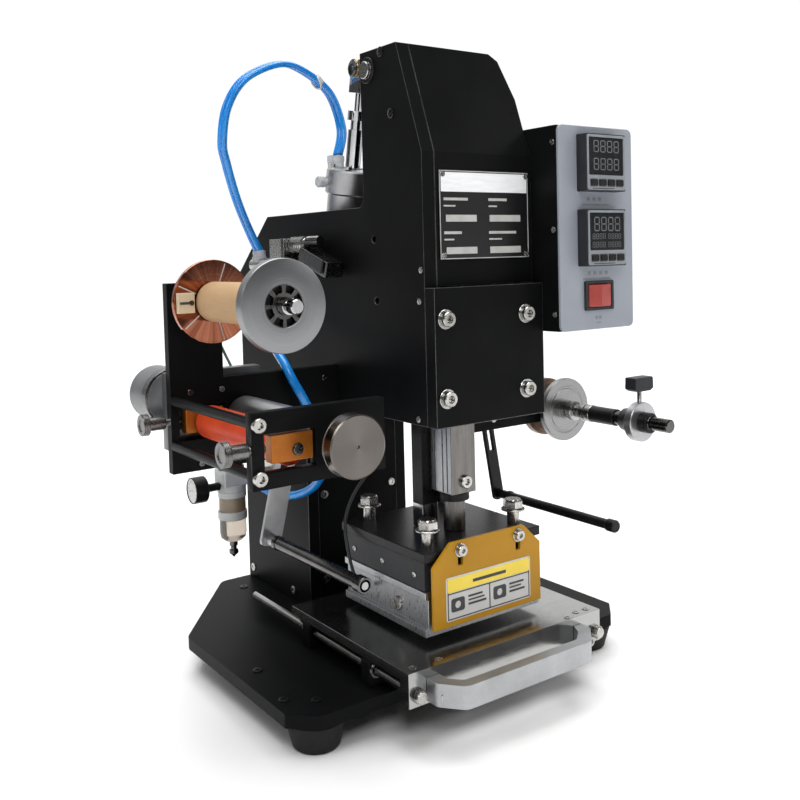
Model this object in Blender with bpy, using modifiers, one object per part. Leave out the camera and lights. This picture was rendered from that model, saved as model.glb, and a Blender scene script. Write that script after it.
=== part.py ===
"""Pneumatic hot foil stamper: base, C-frame column, stamping ram, sliding table, foil reels and feed.

Written in millimetres on the machine's own axes (X to the operator's right, Y towards the back,
Z up, zero at the middle of the base plate on the floor) and scaled to metres when the mesh is made.
"""
import math

import bmesh
import bpy
from mathutils import Matrix, Vector

MM = 0.001
GAP = 0.3                      # clearance between touching pieces
ORIGIN = (7.0, -34.0, 0.0)     # middle of the outline on the floor, from the base plate's middle

# base and column
BASE_HALF_X = 178.5
BASE_HALF_Y = 161.0
BASE_TOP = 34.5
BASE_T = 11.0
FOOT_SPOTS = {"front_left": (-149, -136), "front_right": (149, -136), "rear_left": (-80, 130),
              "rear_right": (80, 130)}
PLATE_T = 12.0
HALF_W = 58.0
INNER = HALF_W - PLATE_T - GAP
COLUMN_FRONT = 27.0
COLUMN_BACK = 160.0
HEAD_FRONT = -169.0
HEAD_BOTTOM = 241.0
HEAD_SLANT_Z = 459.6
HEAD_TOP = 550.0
HEAD_TOP_FRONT = -137.5
HEAD_BACK = -84.5
COLUMN_TOP = 420.0
COVER_T = 2.5
COVER_BACK = -112.0

# lever linkage (Y, Z)
LEVER_PIVOT = (-96.0, 534.0)
REAR_ARM = 101.0
REAR_ANGLE = math.radians(13.5)
FRONT_ARM = 30.0
FRONT_ANGLE = math.radians(32.0)
FRONT_PIN = (LEVER_PIVOT[0] - FRONT_ARM * math.cos(FRONT_ANGLE),
             LEVER_PIVOT[1] - FRONT_ARM * math.sin(FRONT_ANGLE))
REAR_PIN = (LEVER_PIVOT[0] + REAR_ARM * math.cos(REAR_ANGLE),
            LEVER_PIVOT[1] + REAR_ARM * math.sin(REAR_ANGLE))
RAM_PIN = (-126.0, 465.0)
CYLINDER_PIVOT = (54.0, 300.0)
PIN_R = 5.0
REAR_PIN_R = 3.5
LINK_CLEARANCE = 0.8           # round the pin in the link's upper eye
CLEVIS_CLEARANCE = 1.6         # round the pin in the clevis

# stamping head
TABLE_TOP = 64.0
HEATER = ((-62, 62), (-165, -44), (70, 107))
MOUNT_PLATE = ((-63, 63), (-167, -42), (131, 139))

# foil feed and reels (X, Z of each axis)
FEED_FRONT_Y = (-184.0, -175.0)
FEED_BACK_Y = (-34.0, -25.0)
STEEL_ROLLER = (-152.5, 245.5)
SILICONE_ROLLER = (-183.5, 244.0)
UNWIND = (-190.0, 345.0)
REWIND = (221.5, 208.0)
REEL_R = 33.5
TIE_RODS = ((-214.5, 264.5), (-214.5, 227.5))

# control box
BOX_X = (58.4, 148.0)
BOX_Z = (310.5, 483.0)
PANEL_Y = (-202.0, -199.3)
CONTROLLERS = {"upper": (103.2, 451.7), "lower": (103.2, 388.7)}
ROCKER = (103.4, 339.5)

COLOURS = {
    "black_paint": ((0.012, 0.012, 0.013), 0.42, 0.0),
    "steel": ((0.55, 0.55, 0.54), 0.32, 1.0),
    "aluminium": ((0.66, 0.66, 0.66), 0.38, 1.0),
    "panel_grey": ((0.40, 0.45, 0.52), 0.45, 0.0),
    "black_plastic": ((0.02, 0.02, 0.022), 0.5, 0.0),
    "rubber": ((0.02, 0.02, 0.02), 0.85, 0.0),
    "red_plastic": ((0.75, 0.06, 0.02), 0.35, 0.0),
    "amber_paint": ((0.83, 0.40, 0.03), 0.4, 0.0),
    "gold_anodised": ((0.80, 0.45, 0.08), 0.4, 1.0),
    "orange_silicone": ((0.85, 0.16, 0.04), 0.55, 0.0),
    "kraft_paper": ((0.62, 0.42, 0.24), 0.85, 0.0),
    "copper": ((0.72, 0.33, 0.20), 0.3, 1.0),
    "blue_tube": ((0.02, 0.28, 0.80), 0.35, 0.0),
    "clear_plastic": ((0.75, 0.74, 0.70), 0.25, 0.0),
}

for old in list(bpy.data.objects):
    bpy.data.objects.remove(old, do_unlink=True)
PARTS = bpy.data.collections.new("hot_foil_stamper")
TOOLS = bpy.data.collections.new("cutters")
bpy.context.scene.collection.children.link(PARTS)
bpy.context.scene.collection.children.link(TOOLS)


def at(x, y, z):
    """A point in metres from the object's origin."""
    return Vector(((x - ORIGIN[0]) * MM, (y - ORIGIN[1]) * MM, (z - ORIGIN[2]) * MM))


def material(name):
    """The shared Principled material of that name."""
    found = bpy.data.materials.get(name)
    if found:
        return found
    colour, roughness, metallic = COLOURS[name]
    made = bpy.data.materials.new(name)
    made.use_nodes = True
    shader = made.node_tree.nodes["Principled BSDF"]
    shader.inputs["Base Color"].default_value = (*colour, 1.0)
    shader.inputs["Roughness"].default_value = roughness
    shader.inputs["Metallic"].default_value = metallic
    return made


def joint(name, x, y, z, parent=None):
    """An empty on a joint's axis that carries the pieces of one moving body."""
    empty = bpy.data.objects.new(name, None)
    PARTS.objects.link(empty)
    empty.matrix_world = Matrix.Translation(at(x, y, z))
    if parent:
        empty.parent = parent
        empty.matrix_parent_inverse = Matrix.Translation(parent.matrix_world.translation).inverted()
    return empty


def finish(obj, slot, body=None):
    """Gives a piece its material and hangs it on its body."""
    obj.data.materials.clear()
    obj.data.materials.append(material(slot))
    if body:
        obj.parent = body
        obj.matrix_parent_inverse = Matrix.Translation(body.matrix_world.translation).inverted()
    return obj


def from_bmesh(name, mesh_data, collection=None):
    """Wraps a bmesh drawn in millimetres as an object."""
    bmesh.ops.transform(mesh_data, matrix=Matrix.Translation(at(0, 0, 0)) @ Matrix.Scale(MM, 4),
                        verts=mesh_data.verts)
    mesh = bpy.data.meshes.new(name)
    mesh_data.to_mesh(mesh)
    mesh_data.free()
    obj = bpy.data.objects.new(name, mesh)
    (collection or PARTS).objects.link(obj)
    return obj


def box(name, x, y, z, collection=None):
    """A block between two limits on each axis."""
    mesh_data = bmesh.new()
    size = Matrix.Diagonal((x[1] - x[0], y[1] - y[0], z[1] - z[0], 1))
    middle = Matrix.Translation(((x[0] + x[1]) / 2, (y[0] + y[1]) / 2, (z[0] + z[1]) / 2))
    bmesh.ops.create_cube(mesh_data, size=1, matrix=middle @ size)
    return from_bmesh(name, mesh_data, collection)


TURN = {"X": Matrix.Rotation(math.pi / 2, 4, "Y"), "Y": Matrix.Rotation(-math.pi / 2, 4, "X"),
        "Z": Matrix.Identity(4)}


def rod(name, axis, low, high, across, radius, sides=20, collection=None):
    """A round bar along X, Y or Z from low to high; across holds its other two coordinates."""
    mesh_data = bmesh.new()
    bmesh.ops.create_cone(mesh_data, cap_ends=True, segments=sides, radius1=radius, radius2=radius,
                          depth=high - low, matrix=TURN[axis])
    half = (low + high) / 2
    middle = {"X": (half, *across), "Y": (across[0], half, across[1]), "Z": (*across, half)}[axis]
    bmesh.ops.translate(mesh_data, verts=mesh_data.verts, vec=middle)
    return from_bmesh(name, mesh_data, collection)


def turned(name, profile, axis, spot, sides=28):
    """A turned piece: (radius, height) points from its top down its outer side, about an axis at spot."""
    mesh_data = bmesh.new()
    verts = [mesh_data.verts.new((radius, 0, height)) for radius, height in profile]
    for first, second in zip(verts, verts[1:]):
        mesh_data.edges.new((first, second))
    mesh = bpy.data.meshes.new(name)
    bmesh.ops.scale(mesh_data, vec=(MM, MM, MM), verts=mesh_data.verts)
    mesh_data.to_mesh(mesh)
    mesh_data.free()
    obj = bpy.data.objects.new(name, mesh)
    PARTS.objects.link(obj)
    obj.matrix_world = Matrix.Translation(at(*spot)) @ axis
    screw = obj.modifiers.new("turn", "SCREW")
    screw.axis = "Z"
    screw.steps = sides
    screw.render_steps = sides
    screw.use_merge_vertices = True
    screw.merge_threshold = 0.00001
    screw.use_smooth_shade = True
    screw.use_normal_calculate = False
    return baked(obj)


def baked(obj):
    """The same object as a plain welded mesh, with its modifiers or its curve worked out."""
    bpy.context.view_layer.update()
    mesh = bpy.data.meshes.new_from_object(obj.evaluated_get(bpy.context.evaluated_depsgraph_get()))
    mesh_data = bmesh.new()
    mesh_data.from_mesh(mesh)
    bmesh.ops.remove_doubles(mesh_data, verts=mesh_data.verts, dist=0.000005)
    mesh_data.to_mesh(mesh)
    mesh_data.free()
    name = obj.name
    place = obj.matrix_world.copy()
    collection = obj.users_collection[0]
    bpy.data.objects.remove(obj, do_unlink=True)
    made = bpy.data.objects.new(name, mesh)
    collection.objects.link(made)
    made.matrix_world = place
    return made


PLANES = {
    "XY": Matrix(((1, 0, 0, 0), (0, 1, 0, 0), (0, 0, 1, 0), (0, 0, 0, 1))),
    "XZ": Matrix(((1, 0, 0, 0), (0, 0, -1, 0), (0, 1, 0, 0), (0, 0, 0, 1))),
    "YZ": Matrix(((0, 0, 1, 0), (1, 0, 0, 0), (0, 1, 0, 0), (0, 0, 0, 1))),
}


def plate(name, plane, outline, low, high, holes=(), collection=None):
    """A flat piece: an outline on a plane, thick from low to high along the plane's normal."""
    curve = bpy.data.curves.new(name, "CURVE")
    curve.dimensions = "2D"
    curve.fill_mode = "BOTH"
    curve.extrude = (high - low) / 2 * MM
    for ring in (outline, *holes):
        spline = curve.splines.new("POLY")
        spline.points.add(len(ring) - 1)
        for point, (a, b) in zip(spline.points, ring):
            point.co = (a * MM, b * MM, 0, 1)
        spline.use_cyclic_u = True
    obj = bpy.data.objects.new(name, curve)
    (collection or PARTS).objects.link(obj)
    middle = (low + high) / 2
    shift = {"XY": (0, 0, middle), "XZ": (0, middle, 0), "YZ": (middle, 0, 0)}[plane]
    obj.matrix_world = Matrix.Translation(at(*shift)) @ PLANES[plane]
    return baked(obj)


def circle(a, b, radius, sides=14):
    """Points of a round hole."""
    return [(a + radius * math.cos(2 * math.pi * i / sides), b + radius * math.sin(2 * math.pi * i / sides))
            for i in range(sides)]


def rectangle(a, b):
    """Points of a rectangle between two limits on each axis."""
    return [(a[0], b[0]), (a[1], b[0]), (a[1], b[1]), (a[0], b[1])]


def rounded(points, radii, steps=4):
    """The outline with each corner replaced by an arc of its radius."""
    result = []
    for i, point in enumerate(points):
        radius = radii[i] if isinstance(radii, (list, tuple)) else radii
        corner = Vector(point)
        before = (Vector(points[i - 1]) - corner).normalized()
        after = (Vector(points[(i + 1) % len(points)]) - corner).normalized()
        if radius <= 0:
            result.append(tuple(corner))
            continue
        half = before.angle(after) / 2
        reach = radius / math.tan(half)
        centre = corner + (before + after).normalized() * radius / math.sin(half)
        start = corner + before * reach - centre
        end = corner + after * reach - centre
        sweep = start.angle(end)
        turn = 1 if start.x * end.y - start.y * end.x > 0 else -1
        for k in range(steps + 1):
            angle = turn * sweep * k / steps
            result.append((centre.x + start.x * math.cos(angle) - start.y * math.sin(angle),
                           centre.y + start.x * math.sin(angle) + start.y * math.cos(angle)))
    return result


def combine(obj, others, operation):
    """Joins or cuts an object with others, and leaves one plain mesh."""
    for other in others:
        other.hide_render = True
        other.display_type = "WIRE"
        modifier = obj.modifiers.new(operation, "BOOLEAN")
        modifier.operation = operation
        modifier.object = other
    made = baked(obj)
    for other in others:
        bpy.data.objects.remove(other, do_unlink=True)
    return made


def join(obj, *others):
    """Union."""
    return combine(obj, others, "UNION")


def cut(obj, *others):
    """Difference."""
    return combine(obj, others, "DIFFERENCE")


def hose(name, points, radius, sides_resolution=2):
    """A tube through hand-set points, smoothed by a Catmull-Rom curve."""
    path = []
    ends = [points[0], *points, points[-1]]
    for i in range(1, len(ends) - 2):
        p0, p1, p2, p3 = (Vector(ends[i + k]) for k in (-1, 0, 1, 2))
        count = max(1, round((p2 - p1).length / (radius * 5.5)))
        for k in range(count):
            t = k / count
            path.append(0.5 * (2 * p1 + (p2 - p0) * t + (2 * p0 - 5 * p1 + 4 * p2 - p3) * t * t
                               + (3 * p1 - p0 - 3 * p2 + p3) * t ** 3))
    path.append(Vector(points[-1]))
    curve = bpy.data.curves.new(name, "CURVE")
    curve.dimensions = "3D"
    curve.bevel_depth = radius * MM
    curve.bevel_resolution = sides_resolution
    curve.use_fill_caps = True
    spline = curve.splines.new("POLY")
    spline.points.add(len(path) - 1)
    for point, place in zip(spline.points, path):
        point.co = (*at(*place), 1)
    obj = bpy.data.objects.new(name, curve)
    PARTS.objects.link(obj)
    return finish(baked(obj), "blue_tube")


AXIS_Y = Matrix.Rotation(math.pi / 2, 4, "X")      # a profile's height then runs towards -Y (the front)
AXIS_X_LEFT = Matrix.Rotation(-math.pi / 2, 4, "Y")  # a profile's height then runs towards -X


def build_base():
    """Base plate and its four rubber feet."""
    outline = rounded([(-158.5, -161), (158.5, -161), (BASE_HALF_X, -141), (BASE_HALF_X, 44), (91, 161),
                       (-91, 161), (-BASE_HALF_X, 44), (-BASE_HALF_X, -141)],
                      [3, 3, 3, 12, 12, 12, 12, 3], 3)
    finish(plate("base_plate", "XY", outline, BASE_TOP - BASE_T, BASE_TOP), "black_paint")
    foot_top = BASE_TOP - BASE_T - GAP
    for label, spot in FOOT_SPOTS.items():
        foot = turned(f"foot_{label}", [(0, foot_top), (24, foot_top), (18, 0), (0, 0)],
                      Matrix.Identity(4), (*spot, 0), 24)
        finish(foot, "rubber")


def side_outline(front, slant_inset):
    """The C-shaped side plate in Y and Z; slant_inset is how far the head's front edge sits back."""
    floor = BASE_TOP + GAP
    points = [(COLUMN_FRONT, floor), (COLUMN_BACK, floor), (COLUMN_BACK, 364), (93, COLUMN_TOP),
              (HEAD_BACK, COLUMN_TOP), (HEAD_BACK, HEAD_TOP - slant_inset),
              (HEAD_TOP_FRONT + slant_inset * 0.8, HEAD_TOP - slant_inset),
              (HEAD_FRONT + slant_inset, HEAD_SLANT_Z + slant_inset * 0.3)]
    radii = [0, 0, 0, 0, 8, 0, 0, 0]
    if slant_inset:
        points += [(HEAD_FRONT + slant_inset, 352.3), (front, 352.3)]
        radii += [0, 0]
    points += [(front, HEAD_BOTTOM), (COLUMN_FRONT, HEAD_BOTTOM)]
    radii += [0, 14]
    return rounded(points, radii, 4)


def build_frame():
    """Side plates, column plates, head plate, head cover and ram guide."""
    holes = [circle(*LEVER_PIVOT, 7.9, 20), circle(-99, 392, 3.2, 10), circle(-101, 340, 3.2, 10)]
    left = plate("side_plate_left", "YZ", side_outline(HEAD_FRONT, 0), -HALF_W, -HALF_W + PLATE_T, holes)
    finish(left, "black_paint")
    right = plate("side_plate_right", "YZ", side_outline(HEAD_FRONT, COVER_T + GAP),
                  HALF_W - PLATE_T, HALF_W, holes)
    corner = [(39, 551), (49, 544), (HALF_W + 0.5, 508), (70, 508), (70, 560), (39, 560)]
    right = cut(right, plate("corner_a", "XZ", corner, -200, -60, collection=TOOLS))
    finish(right, "black_paint")
    profile = [(HEAD_FRONT, 352.4), (HEAD_FRONT, HEAD_SLANT_Z), (HEAD_TOP_FRONT, HEAD_TOP),
               (COVER_BACK, HEAD_TOP), (COVER_BACK, HEAD_TOP - COVER_T),
               (HEAD_TOP_FRONT + 1.8, HEAD_TOP - COVER_T), (HEAD_FRONT + COVER_T, HEAD_SLANT_Z + 0.7),
               (HEAD_FRONT + COVER_T, 352.4)]
    cover = plate("head_cover", "YZ", profile, -INNER, HALF_W)
    cover = cut(cover, plate("corner_b", "XZ", corner, -200, -60, collection=TOOLS))
    finish(cover, "black_paint")
    finish(box("head_front_plate", (-HALF_W, HALF_W), (-181, HEAD_FRONT - GAP), (HEAD_BOTTOM, 352)),
           "black_paint")
    guide = plate("ram_guide", "XY", rectangle((-INNER, INNER), (HEAD_FRONT + GAP, -86)), 241.3, 345,
                  [rectangle((-22, 22), (-141.6, -94.4))])
    finish(guide, "black_paint")
    channel = [(COLUMN_FRONT, 34.8), (COLUMN_BACK, 34.8), (COLUMN_BACK, 364), (150, 364), (150, 44.8),
               (37, 44.8), (37, 240), (COLUMN_FRONT, 240)]
    finish(plate("column_channel", "YZ", channel, -INNER, INNER), "black_paint")


def build_linkage():
    """Rocking lever, link, ram and air cylinder; the link's top and the clevis are free on their pins."""
    ram = joint("ram_axis", 0, RAM_PIN[0], RAM_PIN[1])
    lever_axis = joint("lever_axis", 0, *LEVER_PIVOT)
    link_axis = joint("link_axis", 0, *RAM_PIN, parent=ram)
    cylinder_axis = joint("cylinder_axis", 0, *CYLINDER_PIVOT)

    arm = [(REAR_PIN[0] + 9, REAR_PIN[1] - 1), (REAR_PIN[0], REAR_PIN[1] + 9),
           (LEVER_PIVOT[0], LEVER_PIVOT[1] + 12), (FRONT_PIN[0] - 3, FRONT_PIN[1] + 7),
           (FRONT_PIN[0] - 7, FRONT_PIN[1] - 1), (FRONT_PIN[0] + 1, FRONT_PIN[1] - 8),
           (LEVER_PIVOT[0] + 6, LEVER_PIVOT[1] - 14), (REAR_PIN[0] + 2, REAR_PIN[1] - 9)]
    lever = join(plate("lever_arm", "YZ", rounded(arm, 4, 2), -3.5, 3.5),
                 rod("pivot", "X", -60, 60, LEVER_PIVOT, 7.5, 20, TOOLS),
                 rod("front_pin", "X", -12, 12, FRONT_PIN, PIN_R, 16, TOOLS),
                 rod("rear_pin", "X", -8, 8, REAR_PIN, REAR_PIN_R, 16, TOOLS),
                 rod("pin_head", "X", -9, -6.8, REAR_PIN, 8, 20, TOOLS))
    finish(lever, "steel", lever_axis)

    across = Vector((FRONT_PIN[0] - RAM_PIN[0], FRONT_PIN[1] - RAM_PIN[1])).normalized()
    side = Vector((-across.y, across.x)) * 9
    low = Vector(RAM_PIN) - across * 9
    high = Vector(FRONT_PIN) + across * 9
    outline = rounded([tuple(low + side), tuple(low - side), tuple(high - side), tuple(high + side)], 8, 3)
    holes = [circle(*RAM_PIN, PIN_R + GAP, 16), circle(*FRONT_PIN, PIN_R + LINK_CLEARANCE, 16)]
    link = plate("link", "YZ", outline, -11.5, 11.5, holes)
    link = cut(link, box("slot_low", (-5.5, 5.5), (-160, -90), (440, 481), TOOLS),
               box("slot_high", (-3.8, 3.8), (-160, -90), (489, 540), TOOLS))
    finish(link, "steel", link_axis)

    slide = join(box("ram_slide", (-13, 13), (-141, -110.3), (173, 440)),
                 box("tongue", (-5, 5), (-135, -117), (430, 474), TOOLS),
                 rod("ram_pin", "X", -12, 12, RAM_PIN, PIN_R, 16, TOOLS),
                 rod("stem", "Z", MOUNT_PLATE[2][1] + GAP, 180, (0, -127), 9.5, 20, TOOLS))
    finish(slide, "aluminium", ram)
    back = join(box("ram_back_bar", (-21.5, 21.5), (-110, -95), (160, 430)),
                box("post", (-21.5, 3), (-110, -95), (MOUNT_PLATE[2][1] + GAP, 165), TOOLS))
    finish(back, "black_paint", ram)
    finish(box("mounting_plate", *MOUNT_PLATE), "black_paint", ram)
    finish(box("insulation_block", (-61, 61), (-163, -46), (107.3, 130.7)), "black_plastic", ram)
    x, y, z = HEATER
    web = [(x[0], z[0]), (x[1], z[0]), (x[1], z[0] + 6), (x[1] - 3, z[0] + 7), (x[1] - 3, z[1] - 7),
           (x[1], z[1] - 6), (x[1], z[1]), (x[0], z[1]), (x[0], z[1] - 6), (x[0] + 3, z[1] - 7),
           (x[0] + 3, z[0] + 7), (x[0], z[0] + 6)]
    finish(plate("heater_block", "XZ", web, *y), "aluminium", ram)

    guard_axis = joint("guard_axis", 0, -170, 110, ram)
    shield = [(-58.5, 76), (58.5, 76), (58.5, 127), (39.5, 145), (-39.5, 145), (-58.5, 127)]
    slots = [rectangle((x0 - 2.6, x0 + 2.6), (125, 140)) for x0 in (-30, 33)]
    finish(plate("guard_plate", "XZ", shield, -171.5, -168.5, slots), "amber_paint", guard_axis)

    reach = Vector((REAR_PIN[0] - CYLINDER_PIVOT[0], REAR_PIN[1] - CYLINDER_PIVOT[1]))
    length = reach.length
    tilt = Matrix.Rotation(-math.atan2(reach.x, reach.y), 4, "X")
    foot = (0, *CYLINDER_PIVOT)
    body = turned("air_cylinder", [(0, 60), (20.3, 60), (20.3, 152), (8, 152), (8, 165), (25, 165), (25, 142),
                                   (22.5, 142), (22.5, 30), (25, 30), (25, 8), (0, 8)], tilt, foot)
    body = join(body, rod("trunnion", "X", -45.4, 45.4, CYLINDER_PIVOT, 6, 16, TOOLS),
                box("lug", (-9, 9), (46, 62), (292, 312), TOOLS))
    finish(body, "aluminium", cylinder_axis)

    rod_axis = joint("rod_axis", 0, *REAR_PIN, parent=cylinder_axis)
    piston = turned("piston_rod", [(0, 244), (3.2, 244), (3.2, 223), (9, 223), (9, 214), (5.5, 214),
                                   (5.5, 205),
                                   (7.5, 205), (7.5, 148), (20, 148), (20, 140), (0, 140)], tilt, foot)
    fork = plate("fork", "YZ", rounded([(-8, 240), (8, 240), (8, length + 8), (-8, length + 8)],
                                       [0, 0, 7.5, 7.5], 3), -6.5, 6.5,
                 [circle(0, length, REAR_PIN_R + CLEVIS_CLEARANCE, 16)], TOOLS)
    fork.matrix_world = Matrix.Translation(at(*foot)) @ tilt @ Matrix.Translation(
        (0, -ORIGIN[1] * MM, 0)).inverted() @ Matrix.Translation((ORIGIN[0] * MM, 0, 0)) @ fork.matrix_world
    slot = box("fork_slot", (-3.8, 3.8), (-30, 30), (247, length + 30), TOOLS)
    slot.matrix_world = Matrix.Translation(at(*foot)) @ tilt @ Matrix.Translation(-at(0, 0, 0))
    fork = cut(fork, slot)
    finish(join(piston, fork), "steel", rod_axis)


def build_table():
    """Sliding table with its two rods, cast handle and the cradle they run in."""
    table_axis = joint("table_axis", 0, -108, 48)
    profile = [(-198, 37), (-186, 37), (-186, 56), (-18, 56), (-18, TABLE_TOP), (-198, TABLE_TOP)]
    table = join(plate("sliding_table", "YZ", profile, -103.5, 103.5),
                 rod("rail_a", "Y", -190, 66, (-98, 48), 4, 14, TOOLS),
                 rod("rail_b", "Y", -190, 66, (98, 48), 4, 14, TOOLS))
    finish(table, "steel", table_axis)
    outline = rounded([(-87, -198.3), (-87, -211), (-72, -229), (60, -229), (80, -209), (80, -198.3),
                       (71, -198.3), (65, -209), (53, -219), (-66, -219), (-75, -209), (-75, -198.3)],
                      [0, 8, 8, 8, 8, 0, 0, 6, 6, 6, 6, 0], 3)
    finish(plate("table_handle", "XY", outline, 39, 57), "aluminium", table_axis)
    cradle = box("table_cradle", (-105, 105), (-146, -39), (34.8, 55.6))
    cradle = cut(cradle, box("middle", (-60, 60), (-134, -51), (30, 60), TOOLS),
                 box("notch_a", (-120, -80), (-134, -51), (30, 60), TOOLS),
                 box("notch_b", (80, 120), (-134, -51), (30, 60), TOOLS),
                 rod("bore_a", "Y", -170, 0, (-98, 48), 4.5, 14, TOOLS),
                 rod("bore_b", "Y", -170, 0, (98, 48), 4.5, 14, TOOLS))
    finish(cradle, "black_paint")


def build_feed():
    """Foil feed: two plates, driven steel roller, sprung silicone roller, motor and unwind reel."""
    window = rectangle((-210, -169), (230.4, 257.6))
    outline = [(-219.5, 219), (-110, 219), (-110, 273), (-219.5, 273)]
    front = plate("feed_front_frame", "XZ", outline, *FEED_FRONT_Y, [window, circle(*STEEL_ROLLER, 4.9, 16)])
    screw_hole = rod("screw_hole", "X", -225, -208, (-179.5, 247), 3.3, 12, TOOLS)
    front = cut(front, screw_hole)
    rods = [rod(f"tie{i}", "Y", FEED_FRONT_Y[1] - 1, FEED_BACK_Y[0] - GAP, spot, 4, 14, TOOLS)
            for i, spot in enumerate(TIE_RODS)]
    finish(join(front, *rods), "black_paint")
    tower = [(-217, 204), (-58.4, 204), (-58.4, 280), (-170, 280), (-170, 360), (-217, 360)]
    back = plate("feed_back_plate", "XZ", tower, *FEED_BACK_Y,
                 [window, circle(*STEEL_ROLLER, 4.9, 16), circle(*UNWIND, 6.4, 16)])
    back = cut(back, rod("screw_hole_b", "X", -225, -208, (-29.5, 247), 3.3, 12, TOOLS))
    finish(back, "black_paint")

    roller_axis = joint("steel_roller_axis", STEEL_ROLLER[0], -100, STEEL_ROLLER[1])
    spot = (STEEL_ROLLER[0], 0, STEEL_ROLLER[1])
    roller = turned("steel_roller", [(0, 214), (22, 214), (23, 213), (23, 202), (22, 201), (4.5, 201),
                                     (4.5, 173), (16.9, 172), (16.9, 37), (4.5, 36), (4.5, 26), (0, 26)],
                    AXIS_Y, spot)
    finish(roller, "steel", roller_axis)

    nip_axis = joint("nip_axis", SILICONE_ROLLER[0], -100, SILICONE_ROLLER[1])
    silicone_axis = joint("silicone_roller_axis", SILICONE_ROLLER[0], -100, SILICONE_ROLLER[1], nip_axis)
    spot = (SILICONE_ROLLER[0], 0, SILICONE_ROLLER[1])
    roller = turned("silicone_roller", [(0, 183), (4, 183), (4, 173), (13.8, 172), (13.8, 37), (4, 36),
                                        (4, 26), (0, 26)], AXIS_Y, spot, 24)
    finish(roller, "orange_silicone", silicone_axis)
    block = plate("nip_block", "XZ", rectangle((-204.5, -171.5), (236.2, 255.8)), -183.5, -174.6,
                  [circle(*SILICONE_ROLLER, 4.3, 16)])
    finish(block, "gold_anodised", nip_axis)
    for label, screw_y in (("front", -179.5), ("rear", -29.5)):
        screw_axis = joint(f"tension_{label}_axis", -230, screw_y, 247)
        profile = [(0, 241), (9, 241), (9, 235.5), (5.5, 235), (5.5, 221), (3, 220.7), (3, 208), (0, 208)]
        knob = turned(f"tension_screw_{label}", profile, AXIS_X_LEFT, (0, screw_y, 247), 20)
        finish(knob, "steel", screw_axis)

    gearbox = join(box("feed_motor", (-216, -131), (-24.6, -13), (222, 286)),
                   rod("can", "Y", -14, 30, (-205, 264), 23.5, 28, TOOLS))
    gearbox = cut(gearbox, box("nip_room", (-212, -168), (-30, -20), (228, 260), TOOLS),
                  box("journal_room", (-159, -146), (-30, -20), (239, 252), TOOLS))
    finish(gearbox, "aluminium")

    reel_axis = joint("unwind_axis", UNWIND[0], -100, UNWIND[1])
    spot = (UNWIND[0], 0, UNWIND[1])
    profile = [(0, 201), (5, 201), (6, 200), (6, 64), (REEL_R, 64), (REEL_R, 60), (9, 59), (9, 38), (6, 37),
               (6, 26), (0, 26)]
    finish(turned("unwind_spindle", profile, AXIS_Y, spot), "copper", reel_axis)
    slots = []
    for i in range(8):
        middle = 2 * math.pi * (i + 0.5) / 8
        arc = [middle + side for side in (-0.26, -0.09, 0.09, 0.26)]
        slots.append([(UNWIND[0] + radius * math.cos(a), UNWIND[1] + radius * math.sin(a))
                      for radius, angles in ((14.5, arc), (9.5, arc[::-1])) for a in angles])
    disc = plate("unwind_flange", "XZ", circle(*UNWIND, REEL_R, 36), -182.5, -173.5,
                 [circle(*UNWIND, 6.4, 16), *slots])
    finish(disc, "aluminium", reel_axis)
    core = plate("foil_core", "XZ", circle(*UNWIND, 16, 24), -173.2, -66, [circle(*UNWIND, 12.7, 20)])
    finish(core, "kraft_paper", reel_axis)


def build_rewind():
    """Rewind reel on the right: bracket, friction shaft, loose collar and its wing screw."""
    bracket = plate("rewind_bracket", "XZ", [(58.4, 196), (236, 196), (236, 222), (205, 224), (58.4, 224)],
                    -31, -23, [circle(*REWIND, 7.4, 16)])
    finish(bracket, "black_paint")
    reel_axis = joint("rewind_axis", REWIND[0], -100, REWIND[1])
    spot = (REWIND[0], 0, REWIND[1])
    profile = [(0, 183), (6, 183), (7, 182), (7, 116), (8.5, 115), (8.5, 84), (9, 83), (9, 72), (6, 71),
               (6, 60), (10, 59), (10, 45), (REEL_R, 44), (REEL_R, 39), (12, 38), (12, 34), (7, 33),
               (7, 18), (31, 17), (31, 8), (10, 7), (10, 2), (0, 2)]
    finish(turned("rewind_shaft", profile, AXIS_Y, spot, 28), "steel", reel_axis)
    collar_axis = joint("collar_axis", REWIND[0], -145, REWIND[1], reel_axis)
    ring = [(7.3, 160), (11, 160), (11, 150), (19.5, 149), (19.5, 141), (13, 140), (13, 126), (7.3, 126),
            (7.3, 160)]
    collar = cut(turned("rewind_collar", ring, AXIS_Y, spot, 24),
                 rod("thread", "Z", REWIND[1] + 7, REWIND[1] + 30, (REWIND[0], -145), 2.8, 12, TOOLS))
    finish(collar, "aluminium", collar_axis)
    wing_axis = joint("wing_axis", REWIND[0], -145, REWIND[1] + 20, collar_axis)
    wing = join(rod("wing_screw", "Z", REWIND[1] + 8, 240, (REWIND[0], -145), 2.5, 12),
                box("wing", (REWIND[0] - 13.5, REWIND[0] + 13.5), (-152, -138), (238.5, 252.5), TOOLS))
    finish(wing, "black_plastic", wing_axis)


def slanted_bar(name, foot, head, width, slot, low, high):
    """A flat slotted arm between two points in X and Z."""
    along = (Vector(head) - Vector(foot)).normalized()
    side = Vector((along.y, -along.x)) * width / 2
    start = Vector(foot) - along * width / 2
    end = Vector(head) + along * width / 2
    outline = rounded([tuple(start + side), tuple(end + side), tuple(end - side), tuple(start - side)], 4, 2)
    inner = side * 0.42
    first = Vector(foot).lerp(Vector(head), slot[0])
    last = Vector(foot).lerp(Vector(head), slot[1])
    hole = [tuple(first + inner), tuple(last + inner), tuple(last - inner), tuple(first - inner)]
    return plate(name, "XZ", outline, low, high, [hole])


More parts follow.
